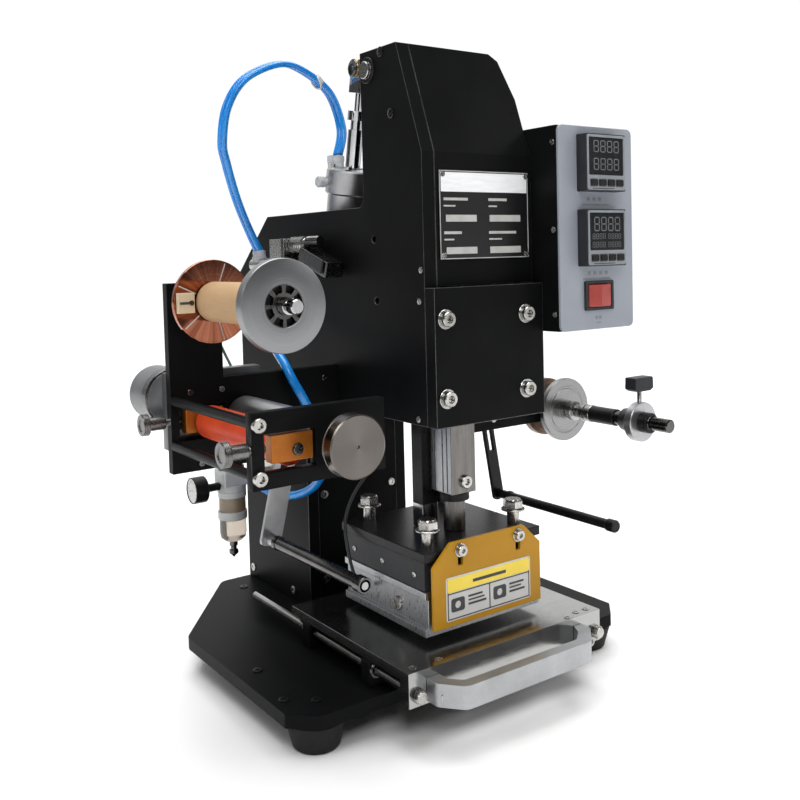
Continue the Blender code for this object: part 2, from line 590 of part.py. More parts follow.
def build_guides():
    """Foil guide rods, each on a slotted arm that is set by hand."""
    left_axis = joint("left_guide_axis", -118, -23, 178)
    arm = slanted_bar("left_guide_arm", (-124, 134), (-103, 221), 20, (0.5, 0.98), -24.6, -21)
    arm = join(arm, rod("left_rod", "Y", -177, -20, (-126.5, 131), 5.2, 16, TOOLS))
    finish(arm, "aluminium", left_axis)
    right_axis = joint("right_guide_axis", 130, -20, 195)
    arm = slanted_bar("right_guide_arm", (143, 126), (127, 218), 13, (0.5, 0.98), -22.6, -18.5)
    arm = join(arm, rod("right_rod", "Y", -183, -18, (143, 126), 4.5, 16, TOOLS))
    finish(arm, "black_paint", right_axis)


def build_controls():
    """Control box, its grey panel, two temperature controllers with keys, and the rocker switch."""
    case = cut(box("electric_box", BOX_X, (PANEL_Y[1] + GAP, -100), BOX_Z),
               box("inside", (BOX_X[0] + 2, BOX_X[1] - 2), (-230, -102), (BOX_Z[0] + 2, BOX_Z[1] - 2), TOOLS))
    finish(case, "black_paint")
    cutouts = [rectangle((x - 22.8, x + 22.8), (z - 22.8, z + 22.8)) for x, z in CONTROLLERS.values()]
    cutouts.append(rectangle((ROCKER[0] - 15, ROCKER[0] + 15), (ROCKER[1] - 11, ROCKER[1] + 11)))
    outline = rounded(rectangle(BOX_X, BOX_Z), 5, 3)
    finish(plate("control_panel", "XZ", outline, *PANEL_Y, cutouts), "panel_grey")
    for label, (x, z) in CONTROLLERS.items():
        case = join(box(f"controller_{label}", (x - 24, x + 24), (-213, PANEL_Y[0] - GAP), (z - 24, z + 24)),
                    box("works", (x - 22.4, x + 22.4), (-205, -140), (z - 22.4, z + 22.4), TOOLS))
        finish(case, "black_plastic")
        for i in range(4):
            middle = x - 15.6 + 10.4 * i
            key_axis = joint(f"key_{label}_{i + 1}_axis", middle, -213.5, z - 17)
            key = box(f"key_{label}_{i + 1}", (middle - 4, middle + 4), (-215.1, -213.7),
                      (z - 19.3, z - 14.7))
            finish(key, "rubber", key_axis)
    rocker_axis = joint("rocker_axis", ROCKER[0], -200, ROCKER[1])
    top = [(-12.6, -196), (12.6, -196), (13.4, -204.4), (0, -206.4), (-13.4, -204.4)]
    outline = [(x + ROCKER[0], y) for x, y in top]
    rocker = plate("power_rocker", "XY", outline, ROCKER[1] - 9.5, ROCKER[1] + 9.5)
    finish(rocker, "red_plastic", rocker_axis)


def build_air():
    """Filter regulator on the column, directional valve on the side plate, and the blue tubes."""
    body = join(box("filter_regulator", (-115, -89), (91, 117), (152, 171)),
                rod("bowl", "Z", 92, 153, (-102, 104), 14.5, 20, TOOLS),
                rod("drain", "Z", 77, 93, (-102, 104), 4, 10, TOOLS),
                rod("gauge", "X", -145, -131, (104, 152), 13, 24, TOOLS),
                rod("gauge_stem", "X", -133, -112, (104, 156), 4, 10, TOOLS),
                box("bracket", (-91, -58.4), (96, 112), (156, 162), TOOLS))
    finish(body, "clear_plastic")
    knob_axis = joint("regulator_axis", -102, 104, 180)
    finish(turned("regulator_knob", [(0, 196), (10.5, 196), (11.5, 194), (11.5, 171.3), (0, 171.3)],
                  Matrix.Identity(4), (-102, 104, 0), 20), "black_plastic", knob_axis)
    coil = [(-10, 388), (-57, 373), (-52.5, 359.5), (-5.5, 374.5)]
    valve = join(box("air_valve", (-84, -58.4), (13, 41), (364, 396)),
                 rod("body", "Y", -12, 15, (-71, 390), 8, 20, TOOLS),
                 rod("end", "Y", -33, -11, (-71, 393), 4.5, 14, TOOLS),
                 plate("coil", "YZ", coil, -80, -61, collection=TOOLS),
                 rod("port", "Y", 40, 97, (-72, 372), 6.5, 16, TOOLS))
    finish(valve, "aluminium")
    loop = [(-8, 31, 479), (0, 36, 504), (-10, 41, 539), (-36, 45, 559), (-60, 51, 565), (-92, 60, 550),
            (-109, 66, 523), (-112, 73, 490), (-107, 77, 471), (-96, 80, 437), (-83, 82, 407), (-72, 82, 385)]
    hose("air_hose_upper", loop, 3)
    second = [(x - 0.6, y + 7, z + (1.5 if 0 < i < len(loop) - 1 else 0)) for i, (x, y, z) in enumerate(loop)]
    hose("air_hose_return", second, 3)
    lower = [(-71, 28, 361), (-72, 30, 341), (-80, 28, 323), (-92, 18, 309), (-104, 0, 301),
             (-112, -20, 296), (-114, -37, 287), (-111, -47, 272), (-102, -50, 254), (-90, -48, 233),
             (-80, -44, 210), (-75, -33, 187), (-73, -12, 167), (-76, 16, 154), (-81, 45, 149),
             (-86, 68, 153), (-92, 86.5, 161)]
    hose("air_hose_supply", lower, 4)


build_base()
build_frame()
build_linkage()
build_table()
build_feed()
build_rewind()
build_guides()
build_controls()
build_air()
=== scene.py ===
"""Looks of the pneumatic hot foil stamper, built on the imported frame. Millimetres on the machine's axes."""
import math

import bmesh
import bpy
from mathutils import Matrix, Vector


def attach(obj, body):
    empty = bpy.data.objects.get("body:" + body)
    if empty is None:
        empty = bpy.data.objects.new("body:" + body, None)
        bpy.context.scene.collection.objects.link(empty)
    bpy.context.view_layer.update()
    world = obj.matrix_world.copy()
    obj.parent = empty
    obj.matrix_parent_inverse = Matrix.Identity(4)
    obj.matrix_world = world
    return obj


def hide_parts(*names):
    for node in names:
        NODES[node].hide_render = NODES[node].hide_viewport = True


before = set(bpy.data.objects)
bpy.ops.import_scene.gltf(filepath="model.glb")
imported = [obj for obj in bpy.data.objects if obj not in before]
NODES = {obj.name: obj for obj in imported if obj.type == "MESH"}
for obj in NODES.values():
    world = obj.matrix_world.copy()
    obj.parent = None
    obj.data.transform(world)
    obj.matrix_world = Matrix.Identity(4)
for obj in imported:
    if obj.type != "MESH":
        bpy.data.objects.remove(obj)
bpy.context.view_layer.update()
MM = 0.001
ORIGIN = Vector((7.0, -34.0, 0.0))
ROOT = "frame"
EDGE_ANGLE = math.radians(35)
WELD_DISTANCE = 0.00001
WASHER = 0.4

# Axes of the turning pieces: points on them in millimetres, or Y and Z, or X and Z, where only those matter
STEEL_ROLLER = (-152.5, 0, 245.5)
SILICONE_ROLLER = (-183.5, 0, 244)
UNWIND = (-190, 345)
REWIND = (221.5, 208)
MOTOR_CAN = (-205, 0, 264)
CYLINDER_FOOT = Vector((0, 54.0, 300.0))
LEVER_PIVOT = (-96, 534)
LEVER_REACH = 101
LEVER_SLOPE = math.radians(13.5)
REAR_PIN = (LEVER_PIVOT[0] + LEVER_REACH * math.cos(LEVER_SLOPE),
            LEVER_PIVOT[1] + LEVER_REACH * math.sin(LEVER_SLOPE))
REEL_RADIUS = 33.5

# Y of the flat faces that carry windows, prints and labels
PANEL_FACE = -202.0
CONTROLLER_FACE = -213
HEAD_FACE = -169
GUARD_FACE = -171.5

# Camera place in millimetres, its yaw, pitch and roll in degrees, and its lens
CAMERA = (-502.5, -761, 379)
CAMERA_TURN = (35.38, 2.79, 1.45)
LENS = 42.3
SENSOR = 36
LENS_SHIFT = -0.125

# Soft lamps: place in metres, size and power
LAMPS = {"key": ((-1.1, -1.9, 2.0), 0.9, 21), "side": ((-2.2, 0.2, 1.5), 0.8, 8),
         "fill": ((1.8, -1.6, 1.4), 0.9, 9), "top": ((0.2, 0.5, 2.6), 2.2, 14)}
FLOOR_HALF = 14
DOME_RADIUS = 12
LAMP_AIM = Vector((0, 0, 0.25))
OVERHEAD_POWER = 2.9
OVERHEAD_ANGLE = 1.0
BRIGHT_SIDE = (0.56, 0.79, 0.25)
DIM_SIDE_LEVEL = 0.06


def at(x, y, z):
    """A point on the machine's axes, in metres in the row frame."""
    return (Vector((x, y, z)) - ORIGIN) * MM


# ---------------------------------------------------------------- materials

def shader_of(name):
    """A new material, its node tree and its shader."""
    made = bpy.data.materials.new(name)
    made.use_nodes = True
    tree = made.node_tree
    return made, tree, tree.nodes["Principled BSDF"]


def add(tree, kind, links=(), **values):
    """One node, with its sockets set by name and linked from other sockets."""
    node = tree.nodes.new(kind)
    for key, value in values.items():
        if hasattr(node, key):
            setattr(node, key, value)
        else:
            node.inputs[key.replace("_", " ")].default_value = value
    for target, source in links:
        tree.links.new(source, node.inputs[target])
    return node


def colour_ramp(tree, factor, colours, places):
    """A ramp between two colours, driven by a socket."""
    ramp = add(tree, "ShaderNodeValToRGB", [("Fac", factor)])
    for stop, colour, place in zip(ramp.color_ramp.elements, colours, places):
        stop.position = place
        stop.color = (*colour, 1)
    return ramp.outputs["Color"]


def rough_and_raised(tree, shader, height, roughness, strength, distance, **limits):
    """Roughness and a fine bump, both from one noise."""
    rough = add(tree, "ShaderNodeMapRange", [("Value", height)], To_Min=roughness[0], To_Max=roughness[1],
                **limits)
    tree.links.new(rough.outputs["Result"], shader.inputs["Roughness"])
    relief = add(tree, "ShaderNodeBump", [("Height", height)], Strength=strength, Distance=distance)
    tree.links.new(relief.outputs["Normal"], shader.inputs["Normal"])


def surface(name, colour, second, roughness=(0.35, 0.5), metallic=0.0, grain=60.0, stretch=(1, 1, 1),
            bump=0.05, bump_scale=900.0, coat=0.0, spots=0.0, spot_colour=(0.5, 0.5, 0.5),
            transmission=0.0, specular=0.5):
    """A finish whose colour and roughness drift with a large and a fine noise, with a fine bump."""
    made, tree, shader = shader_of(name)
    place = add(tree, "ShaderNodeTexCoord").outputs["Object"]
    scaled = add(tree, "ShaderNodeMapping", [("Vector", place)], Scale=stretch).outputs["Vector"]
    cloud = add(tree, "ShaderNodeTexNoise", [("Vector", scaled)], Scale=grain, Detail=5.0, Roughness=0.6)
    fine = add(tree, "ShaderNodeTexNoise", [("Vector", scaled)], Scale=bump_scale, Detail=3.0, Roughness=0.5)
    colour_out = colour_ramp(tree, cloud.outputs["Fac"], (colour, second), (0.32, 0.68))
    if spots:
        speck = add(tree, "ShaderNodeTexNoise", [("Vector", place)], Scale=420.0, Detail=6.0, Roughness=0.75)
        mask = add(tree, "ShaderNodeMapRange", [("Value", speck.outputs["Fac"])], From_Min=0.66,
                   From_Max=0.78, To_Max=spots)
        mix = add(tree, "ShaderNodeMix", data_type="RGBA")
        tree.links.new(mask.outputs["Result"], mix.inputs["Factor"])
        tree.links.new(colour_out, mix.inputs[6])
        mix.inputs[7].default_value = (*spot_colour, 1)
        colour_out = mix.outputs[2]
    tree.links.new(colour_out, shader.inputs["Base Color"])
    rough_and_raised(tree, shader, fine.outputs["Fac"], roughness, bump, 0.0002, From_Min=0.3, From_Max=0.7)
    shader.inputs["Metallic"].default_value = metallic
    shader.inputs["Coat Weight"].default_value = coat
    shader.inputs["Specular IOR Level"].default_value = specular
    if transmission:
        shader.inputs["Transmission Weight"].default_value = transmission
        shader.inputs["IOR"].default_value = 1.45
    return made


def rings(name, colour, second, centre, axis, frequency=900.0, roughness=(0.2, 0.34), painted_rays=False, fan=0.0):
    """A turned metal face: fine rings round an axis, or radial streaks of painted highlight, with a fan of
    light if asked.
    """
    made, tree, shader = shader_of(name)
    place = add(tree, "ShaderNodeTexCoord").outputs["Object"]
    moved = add(tree, "ShaderNodeVectorMath", [(0, place)], operation="SUBTRACT")
    moved.inputs[1].default_value = centre
    keep = [0.0 if letter == axis else 1.0 for letter in "XYZ"]
    flat = add(tree, "ShaderNodeVectorMath", [(0, moved.outputs[0])], operation="MULTIPLY")
    flat.inputs[1].default_value = keep
    radius = add(tree, "ShaderNodeVectorMath", [(0, flat.outputs[0])], operation="LENGTH").outputs["Value"]
    parts = add(tree, "ShaderNodeSeparateXYZ", [(0, flat.outputs[0])])
    across = [letter for letter in "XYZ" if letter != axis]
    angle = add(tree, "ShaderNodeMath", operation="ARCTAN2")
    tree.links.new(parts.outputs[across[0]], angle.inputs[0])
    tree.links.new(parts.outputs[across[1]], angle.inputs[1])
    line = add(tree, "ShaderNodeCombineXYZ", [("X", radius)])
    marks = add(tree, "ShaderNodeTexNoise", [("Vector", line.outputs[0])], Scale=frequency, Detail=4.0,
                Roughness=0.7)
    turn = add(tree, "ShaderNodeCombineXYZ", [("X", angle.outputs[0])])
    ray_highlight_noise = add(tree, "ShaderNodeTexNoise", [("Vector", turn.outputs[0])], Scale=5.0, Detail=5.0,
               Roughness=0.8)
    # Radial option: the colour follows the angle round the axis, painting bright and dark radial highlights
    source = ray_highlight_noise if painted_rays else marks
    blend = colour_ramp(tree, source.outputs["Fac"], (colour, second), (0.36, 0.64))
    tree.links.new(blend, shader.inputs["Base Color"])
    rough_and_raised(tree, shader, marks.outputs["Fac"], roughness, 0.12, 0.0001)
    if fan:
        round_axis = add(tree, "ShaderNodeTangent", direction_type="RADIAL", axis=axis)
        tree.links.new(round_axis.outputs["Tangent"], shader.inputs["Tangent"])
        shader.inputs["Anisotropic"].default_value = fan
    shader.inputs["Metallic"].default_value = 1.0
    return made


BLACK = surface("black_powder_coat", (0.0035, 0.0037, 0.004), (0.006, 0.0063, 0.0067), (0.36, 0.48), grain=14,
                bump=0.10, bump_scale=1500, spots=0.06, spot_colour=(0.05, 0.05, 0.05), specular=0.06)
# Bright finish for the bevel faces of the black plates: a painted highlight where the chamfers catch the
# light
PAINTED_EDGE_HIGHLIGHT = surface("painted_edge_highlight", (0.05, 0.05, 0.05), (0.13, 0.13, 0.13), (0.25, 0.35), 0.6, grain=40, bump=0.05)
BLACK_EDGE = surface("black_anodised", (0.005, 0.005, 0.005), (0.010, 0.010, 0.011), (0.25, 0.38), grain=30,
                     bump=0.05, spots=0.08, spot_colour=(0.08, 0.08, 0.08), specular=0.2)
PLASTIC = surface("black_moulded_plastic", (0.014, 0.0155, 0.018), (0.021, 0.0225, 0.026), (0.42, 0.55),
                  grain=40, bump=0.12, bump_scale=2200, specular=0.35)
RUBBER = surface("black_rubber", (0.007, 0.007, 0.007), (0.013, 0.012, 0.012), (0.65, 0.85), grain=60,
                 bump=0.2, specular=0.3)
STEEL = surface("ground_steel", (0.36, 0.36, 0.35), (0.43, 0.43, 0.415), (0.2, 0.3), 1.0, grain=16,
                stretch=(0.4, 1, 1), bump=0.008, spots=0.04, spot_colour=(0.22, 0.20, 0.18))
DARK_STEEL = surface("oiled_steel", (0.07, 0.07, 0.07), (0.15, 0.145, 0.14), (0.16, 0.3), 1.0, grain=36,
                     bump=0.015)
TABLE_STEEL = surface("polished_table", (0.34, 0.34, 0.33), (0.46, 0.46, 0.45), (0.12, 0.26), 1.0, grain=10,
                      stretch=(0.12, 1, 1), bump=0.012, spots=0.2, spot_colour=(0.18, 0.17, 0.15))
CHROME = surface("bright_chrome", (0.40, 0.40, 0.41), (0.55, 0.55, 0.56), (0.07, 0.14), 1.0, grain=40,
                 bump=0.01)
ALUMINIUM = surface("satin_aluminium", (0.38, 0.38, 0.39), (0.50, 0.50, 0.51), (0.28, 0.42), 1.0, grain=45,
                    bump=0.015)
CAST = surface("cast_aluminium", (0.35, 0.36, 0.37), (0.46, 0.47, 0.48), (0.34, 0.5), 1.0, grain=30, bump=0.3,
               bump_scale=700)
HEATER = surface("heater_aluminium", (0.34, 0.35, 0.36), (0.46, 0.47, 0.48), (0.24, 0.4), 1.0, grain=14,
                 stretch=(1, 1, 0.2), bump=0.01, spots=0.04, spot_colour=(0.24, 0.22, 0.2))
RAM_STEEL = surface("brushed_ram", (0.12, 0.115, 0.108), (0.21, 0.2, 0.19), (0.22, 0.36), 1.0, grain=90,
                    stretch=(1, 1, 0.06), bump=0.03, spots=0.15, spot_colour=(0.12, 0.1, 0.09))
SATIN = surface("satin_steel", (0.13, 0.13, 0.13), (0.20, 0.195, 0.19), (0.24, 0.36), 1.0, grain=70,
                bump=0.01)
BRASS = surface("brass", (0.36, 0.25, 0.10), (0.48, 0.35, 0.16), (0.22, 0.36), 1.0, grain=60, bump=0.05)
ZINC = surface("zinc_screw", (0.36, 0.35, 0.33), (0.55, 0.54, 0.51), (0.2, 0.34), 1.0, grain=120, bump=0.015)
PANEL = surface("grey_panel_paint", (0.27, 0.29, 0.335), (0.30, 0.325, 0.37), (0.42, 0.52), grain=12,
                bump=0.06, bump_scale=1800)
GUARD = surface("amber_enamel", (0.44, 0.215, 0.006), (0.50, 0.25, 0.010), (0.3, 0.4), grain=16, bump=0.05,
                coat=0.05, specular=0.2)
GOLD = surface("gold_anodised", (0.34, 0.10, 0.009), (0.41, 0.135, 0.015), (0.3, 0.42), 0.6, grain=60,
               bump=0.06)
SILICONE = surface("orange_silicone", (0.60, 0.045, 0.010), (0.68, 0.075, 0.016), (0.42, 0.55), grain=40,
                   bump=0.1)
KRAFT = surface("wound_kraft", (0.39, 0.24, 0.115), (0.50, 0.33, 0.18), (0.75, 0.9), grain=30,
                stretch=(1, 0.25, 1), bump=0.25, spots=0.25, spot_colour=(0.35, 0.2, 0.1))
BEIGE = surface("beige_plastic", (0.55, 0.42, 0.27), (0.66, 0.53, 0.36), (0.4, 0.5), grain=50, bump=0.08)
BLUE = surface("blue_polyurethane", (0.004, 0.19, 0.62), (0.008, 0.27, 0.74), (0.2, 0.3), grain=25, bump=0.03,
               coat=0.35)
BOWL = surface("smoked_bowl", (0.52, 0.45, 0.38), (0.64, 0.57, 0.49), (0.06, 0.14), grain=30, bump=0.03,
               transmission=0.85)
PALE = surface("pale_plastic", (0.46, 0.47, 0.47), (0.58, 0.59, 0.59), (0.25, 0.4), grain=40, bump=0.08)
FROST = surface("frosted_fitting", (0.62, 0.64, 0.66), (0.75, 0.77, 0.79), (0.12, 0.25), grain=60, bump=0.05,
                transmission=0.5)
WHITE = surface("white_print", (0.56, 0.55, 0.53), (0.64, 0.63, 0.61), (0.4, 0.5), grain=50, bump=0.02)
YELLOW = surface("yellow_print", (0.90, 0.66, 0.05), (0.93, 0.72, 0.08), (0.35, 0.45), grain=50, bump=0.02)
INK = surface("dark_print", (0.03, 0.03, 0.035), (0.05, 0.05, 0.055), (0.45, 0.55), grain=60, bump=0.02)
GREY_INK = surface("grey_print", (0.17, 0.18, 0.20), (0.22, 0.23, 0.25), (0.5, 0.6), grain=60, bump=0.02)
GLASS = surface("display_window", (0.012, 0.014, 0.016), (0.02, 0.022, 0.024), (0.1, 0.18), grain=20,
                bump=0.01, coat=0.5)
SEGMENT = surface("unlit_segment", (0.11, 0.115, 0.115), (0.15, 0.155, 0.155), (0.35, 0.45), grain=60,
                  bump=0.02)
PLATE_INK = surface("silver_print", (0.40, 0.40, 0.38), (0.52, 0.52, 0.50), (0.35, 0.45), grain=60, bump=0.02)
MOTOR = surface("motor_grey", (0.10, 0.105, 0.11), (0.16, 0.165, 0.17), (0.3, 0.42), 0.5, grain=30, bump=0.1)
BEZEL = surface("bezel_grey", (0.20, 0.22, 0.24), (0.26, 0.28, 0.30), (0.35, 0.45), grain=60, bump=0.05)
RED = surface("red_rocker", (0.30, 0.025, 0.016), (0.42, 0.045, 0.03), (0.16, 0.24), grain=60, bump=0.02,
              coat=0.2)
PLATE_PRINT = surface("name_plate", (0.006, 0.006, 0.007), (0.008, 0.008, 0.009), (0.28, 0.34), grain=8,
                      bump=0.03)
BAND = surface("bright_band", (0.84, 0.85, 0.86), (0.95, 0.96, 0.97), (0.3, 0.4), 0.05, grain=60,
               stretch=(1, 1, 6), bump=0.04)
GREEN_WIRE = surface("dark_green_wire", (0.008, 0.04, 0.02), (0.015, 0.06, 0.03), (0.4, 0.5), grain=80)
CLEAR = surface("clear_cover", (0.9, 0.9, 0.9), (0.95, 0.95, 0.95), (0.03, 0.06), grain=30, bump=0.0,
                transmission=1.0)


# ---------------------------------------------------------------- shapes

def show(name, data):
    """A new object in the scene."""
    obj = bpy.data.objects.new(name, data)
    bpy.context.scene.collection.objects.link(obj)
    return obj


def piece(name, body, data, finish, bevel=0.0, sharp=35):
    """Makes a mesh, drawn in millimetres on the machine's axes, into a finished piece of a body."""
    bmesh.ops.remove_doubles(data, verts=data.verts, dist=0.001)
    bmesh.ops.recalc_face_normals(data, faces=data.faces)
    bmesh.ops.transform(data, matrix=Matrix.Scale(MM, 4) @ Matrix.Translation(-ORIGIN), verts=data.verts)
    mesh = bpy.data.meshes.new(name)
    data.to_mesh(mesh)
    data.free()
    mesh.shade_smooth()
    mesh.set_sharp_from_angle(angle=math.radians(sharp))
    mesh.materials.append(finish)
    obj = show(name, mesh)
    if bevel:
        soften(obj, bevel, weld=False)
    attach(obj, body)
    return obj


def soften(obj, width, segments=2, weld=True):
    """Small rounded edges, on corners sharper than EDGE_ANGLE."""
    if weld:
        obj.modifiers.new("weld", "WELD").merge_threshold = WELD_DISTANCE
    edge = obj.modifiers.new("edges", "BEVEL")
    edge.width = width * MM
    edge.segments = segments
    edge.limit_method = "ANGLE"
    edge.angle_limit = EDGE_ANGLE
    edge.harden_normals = True


def add_box(data, x, y, z, matrix=None):
    """A block added to a mesh."""
    size = Matrix.Diagonal((x[1] - x[0], y[1] - y[0], z[1] - z[0], 1))
    middle = Matrix.Translation(((x[0] + x[1]) / 2, (y[0] + y[1]) / 2, (z[0] + z[1]) / 2))
    bmesh.ops.create_cube(data, size=1, matrix=(matrix or Matrix.Identity(4)) @ middle @ size)


def block(name, body, x, y, z, finish, bevel=0.6):
    """A block with rounded edges."""
    return blocks(name, body, [(x, y, z)], finish, bevel)


def blocks(name, body, spans, finish, bevel=0.0):
    """Several blocks as one piece."""
    data = bmesh.new()
    for span in spans:
        add_box(data, *span)
    return piece(name, body, data, finish, bevel)


AIM = {"+X": Matrix.Rotation(math.pi / 2, 4, "Y"), "-X": Matrix.Rotation(-math.pi / 2, 4, "Y"),
       "+Y": Matrix.Rotation(-math.pi / 2, 4, "X"), "-Y": Matrix.Rotation(math.pi / 2, 4, "X"),
       "+Z": Matrix.Identity(4), "-Z": Matrix.Rotation(math.pi, 4, "X")}


def aimed(spot, aim):
    """A frame at spot with its Z along aim."""
    return Matrix.Translation(spot) @ AIM[aim]


def add_lathe(data, profile, matrix, steps=48):
    """A turned shape added to a mesh: (radius, height) points about the matrix's Z."""
    verts = [data.verts.new((radius, 0, height)) for radius, height in profile]
    edges = [data.edges.new(pair) for pair in zip(verts, verts[1:])]
    before = set(data.verts) - set(verts)
    bmesh.ops.spin(data, geom=verts + edges, cent=(0, 0, 0), axis=(0, 0, 1), angle=2 * math.pi, steps=steps,
                   use_merge=True)
    made = [v for v in data.verts if v not in before]
    bmesh.ops.transform(data, matrix=matrix, verts=made)


def lathe(name, body, profile, spot, aim, finish, steps=56, sharp=28):
    """A turned piece whose heights run along aim from spot."""
    data = bmesh.new()
    turn = aim if isinstance(aim, Matrix) else AIM[aim]
    add_lathe(data, profile, Matrix.Translation(spot) @ turn, steps)
    return piece(name, body, data, finish, sharp=sharp)


def on_axis(body, spot, aim):
    """A maker of turned pieces that share a body and an axis."""
    def make(name, profile, finish, steps=48):
        return lathe(name, body, profile, spot, aim, finish, steps)
    return make


PLANES = {"XY": lambda a, b, c: (a, b, c), "XZ": lambda a, b, c: (a, c, b), "YZ": lambda a, b, c: (c, a, b)}


def rounded(points, radius, steps=5):
    """An outline with every corner rounded."""
    result = []
    for i, point in enumerate(points):
        corner = Vector(point)
        before = (Vector(points[i - 1]) - corner).normalized()
        after = (Vector(points[(i + 1) % len(points)]) - corner).normalized()
        half = before.angle(after) / 2
        centre = corner + (before + after).normalized() * radius / math.sin(half)
        start = corner + before * radius / math.tan(half) - centre
        end = corner + after * radius / math.tan(half) - centre
        turn = 1 if start.x * end.y - start.y * end.x > 0 else -1
        for k in range(steps + 1):
            angle = turn * start.angle(end) * k / steps
            result.append((centre.x + start.x * math.cos(angle) - start.y * math.sin(angle),
                           centre.y + start.x * math.sin(angle) + start.y * math.cos(angle)))
    return result


def circle(a, b, radius, steps=32):
    """Points round a circle."""
    return [(a + radius * math.cos(2 * math.pi * i / steps), b + radius * math.sin(2 * math.pi * i / steps))
            for i in range(steps)]


def rectangle(a, b):
    """Points of a rectangle."""
    return [(a[0], b[0]), (a[1], b[0]), (a[1], b[1]), (a[0], b[1])]


def add_flat(data, plane, outline, low, high, holes=()):
    """A flat piece added to a mesh: an outline with holes, thick from low to high."""
    before = set(data.verts)
    edges = []
    for ring in (outline, *holes):
        verts = [data.verts.new(PLANES[plane](a, b, low)) for a, b in ring]
        edges += [data.edges.new((verts[i - 1], verts[i])) for i in range(len(verts))]
    faces = bmesh.ops.triangle_fill(data, edges=edges, use_beauty=True)["geom"]
    faces = [item for item in faces if isinstance(item, bmesh.types.BMFace)]
    bmesh.ops.dissolve_limit(data, angle_limit=0.01, verts=[v for v in data.verts if v not in before],
                             edges=list({e for f in faces for e in f.edges}))
    faces = [f for f in data.faces if all(v not in before for v in f.verts)]
    raised = bmesh.ops.extrude_face_region(data, geom=faces)["geom"]
    shift = Vector(PLANES[plane](0, 0, high - low))
    bmesh.ops.translate(data, verts=[v for v in raised if isinstance(v, bmesh.types.BMVert)], vec=shift)


def flat(name, body, plane, outline, low, high, finish, holes=(), bevel=0.4):
    """A flat piece with its edges eased."""
    data = bmesh.new()
    add_flat(data, plane, outline, low, high, holes)
    return piece(name, body, data, finish, bevel)


def ribs(crest, root, start, fall, pitch, count):
    """Profile points of knurls or a thread: crests from start down, each with a root lower by fall."""
    heights = [start - k * pitch for k in range(count)]
    return [point for height in heights for point in ((crest, height), (root, height - fall))]


def socket_screws(name, body, spots, aim, radius, height, finish=None):
    """Cap screws with a hexagon socket, one piece for a row of equal ones."""
    data = bmesh.new()
    for spot in spots:
        frame_to = aimed(spot, aim)
        profile = [(radius * 0.52, height * 0.35), (radius * 0.52, height), (radius * 0.9, height),
                   (radius, height * 0.85), (radius, 0)]
        add_lathe(data, profile, frame_to, 30)
        add_lathe(data, [(0, height * 0.35), (radius * 0.52, height * 0.35)], frame_to, 6)
    return piece(name, body, data, finish or ZINC, sharp=30)


def hex_bolt(data, spot, aim, across, height):
    """A hexagon bolt head with a round top, lifted from the spot by a thin washer."""
    place = aimed(spot, aim)
    top = WASHER + height
    corner = across * 0.577
    head = [(0, top), (across * 0.46, top), (across * 0.55, WASHER + height * 0.86),
            (corner, WASHER + height * 0.8), (corner, WASHER), (0, WASHER)]
    add_lathe(data, head, place, 6)
    crown = [(0, top + 0.3), (across * 0.44, top + 0.3), (across * 0.46, top - 0.3), (0, top - 0.3)]
    add_lathe(data, crown, place, 28)


def smooth_path(points, gap=4.0):
    """Catmull-Rom points through a given route."""
    ends = [Vector(p) for p in (points[0], *points, points[-1])]
    path = []
    for i in range(1, len(ends) - 2):
        p0, p1, p2, p3 = ends[i - 1:i + 3]
        count = max(2, round((p2 - p1).length / gap))
        for k in range(count):
            t = k / count
            path.append(0.5 * (2 * p1 + (p2 - p0) * t + (2 * p0 - 5 * p1 + 4 * p2 - p3) * t * t
                               + (3 * p1 - p0 - 3 * p2 + p3) * t ** 3))
    return path + [ends[-1]]


def free_hose(name, body, points, radius, finish):
    """A tube that runs from one fitting to another."""
    hose = tube(name, body, points, radius, finish)
    return hose


def tube(name, body, points, radius, finish):
    """A round tube along a smooth route."""
    path = smooth_path(points)
    curve = bpy.data.curves.new(name, "CURVE")
    curve.dimensions = "3D"
    curve.bevel_depth = radius * MM
    curve.bevel_resolution = 5
    curve.use_fill_caps = True
    spline = curve.splines.new("POLY")
    spline.points.add(len(path) - 1)
    spline.use_smooth = True
    for point, place in zip(spline.points, path):
        point.co = (*at(*place), 1)
    curve.materials.append(finish)
    obj = show(name, curve)
    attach(obj, body)
    return obj


def keep(node, finish, bevel=0.5, segments=2, edge=None):
    """A CAD piece that stays, with its finish and eased edges, which can have a finish of their own: a
    painted edge highlight.
    """
    obj = NODES[node]
    obj.data.materials.clear()
    obj.data.materials.append(finish)
    if bevel:
        soften(obj, bevel, segments)
    if edge:
        obj.data.materials.append(edge)
        obj.modifiers["edges"].material = 1


# ---------------------------------------------------------------- frame and head

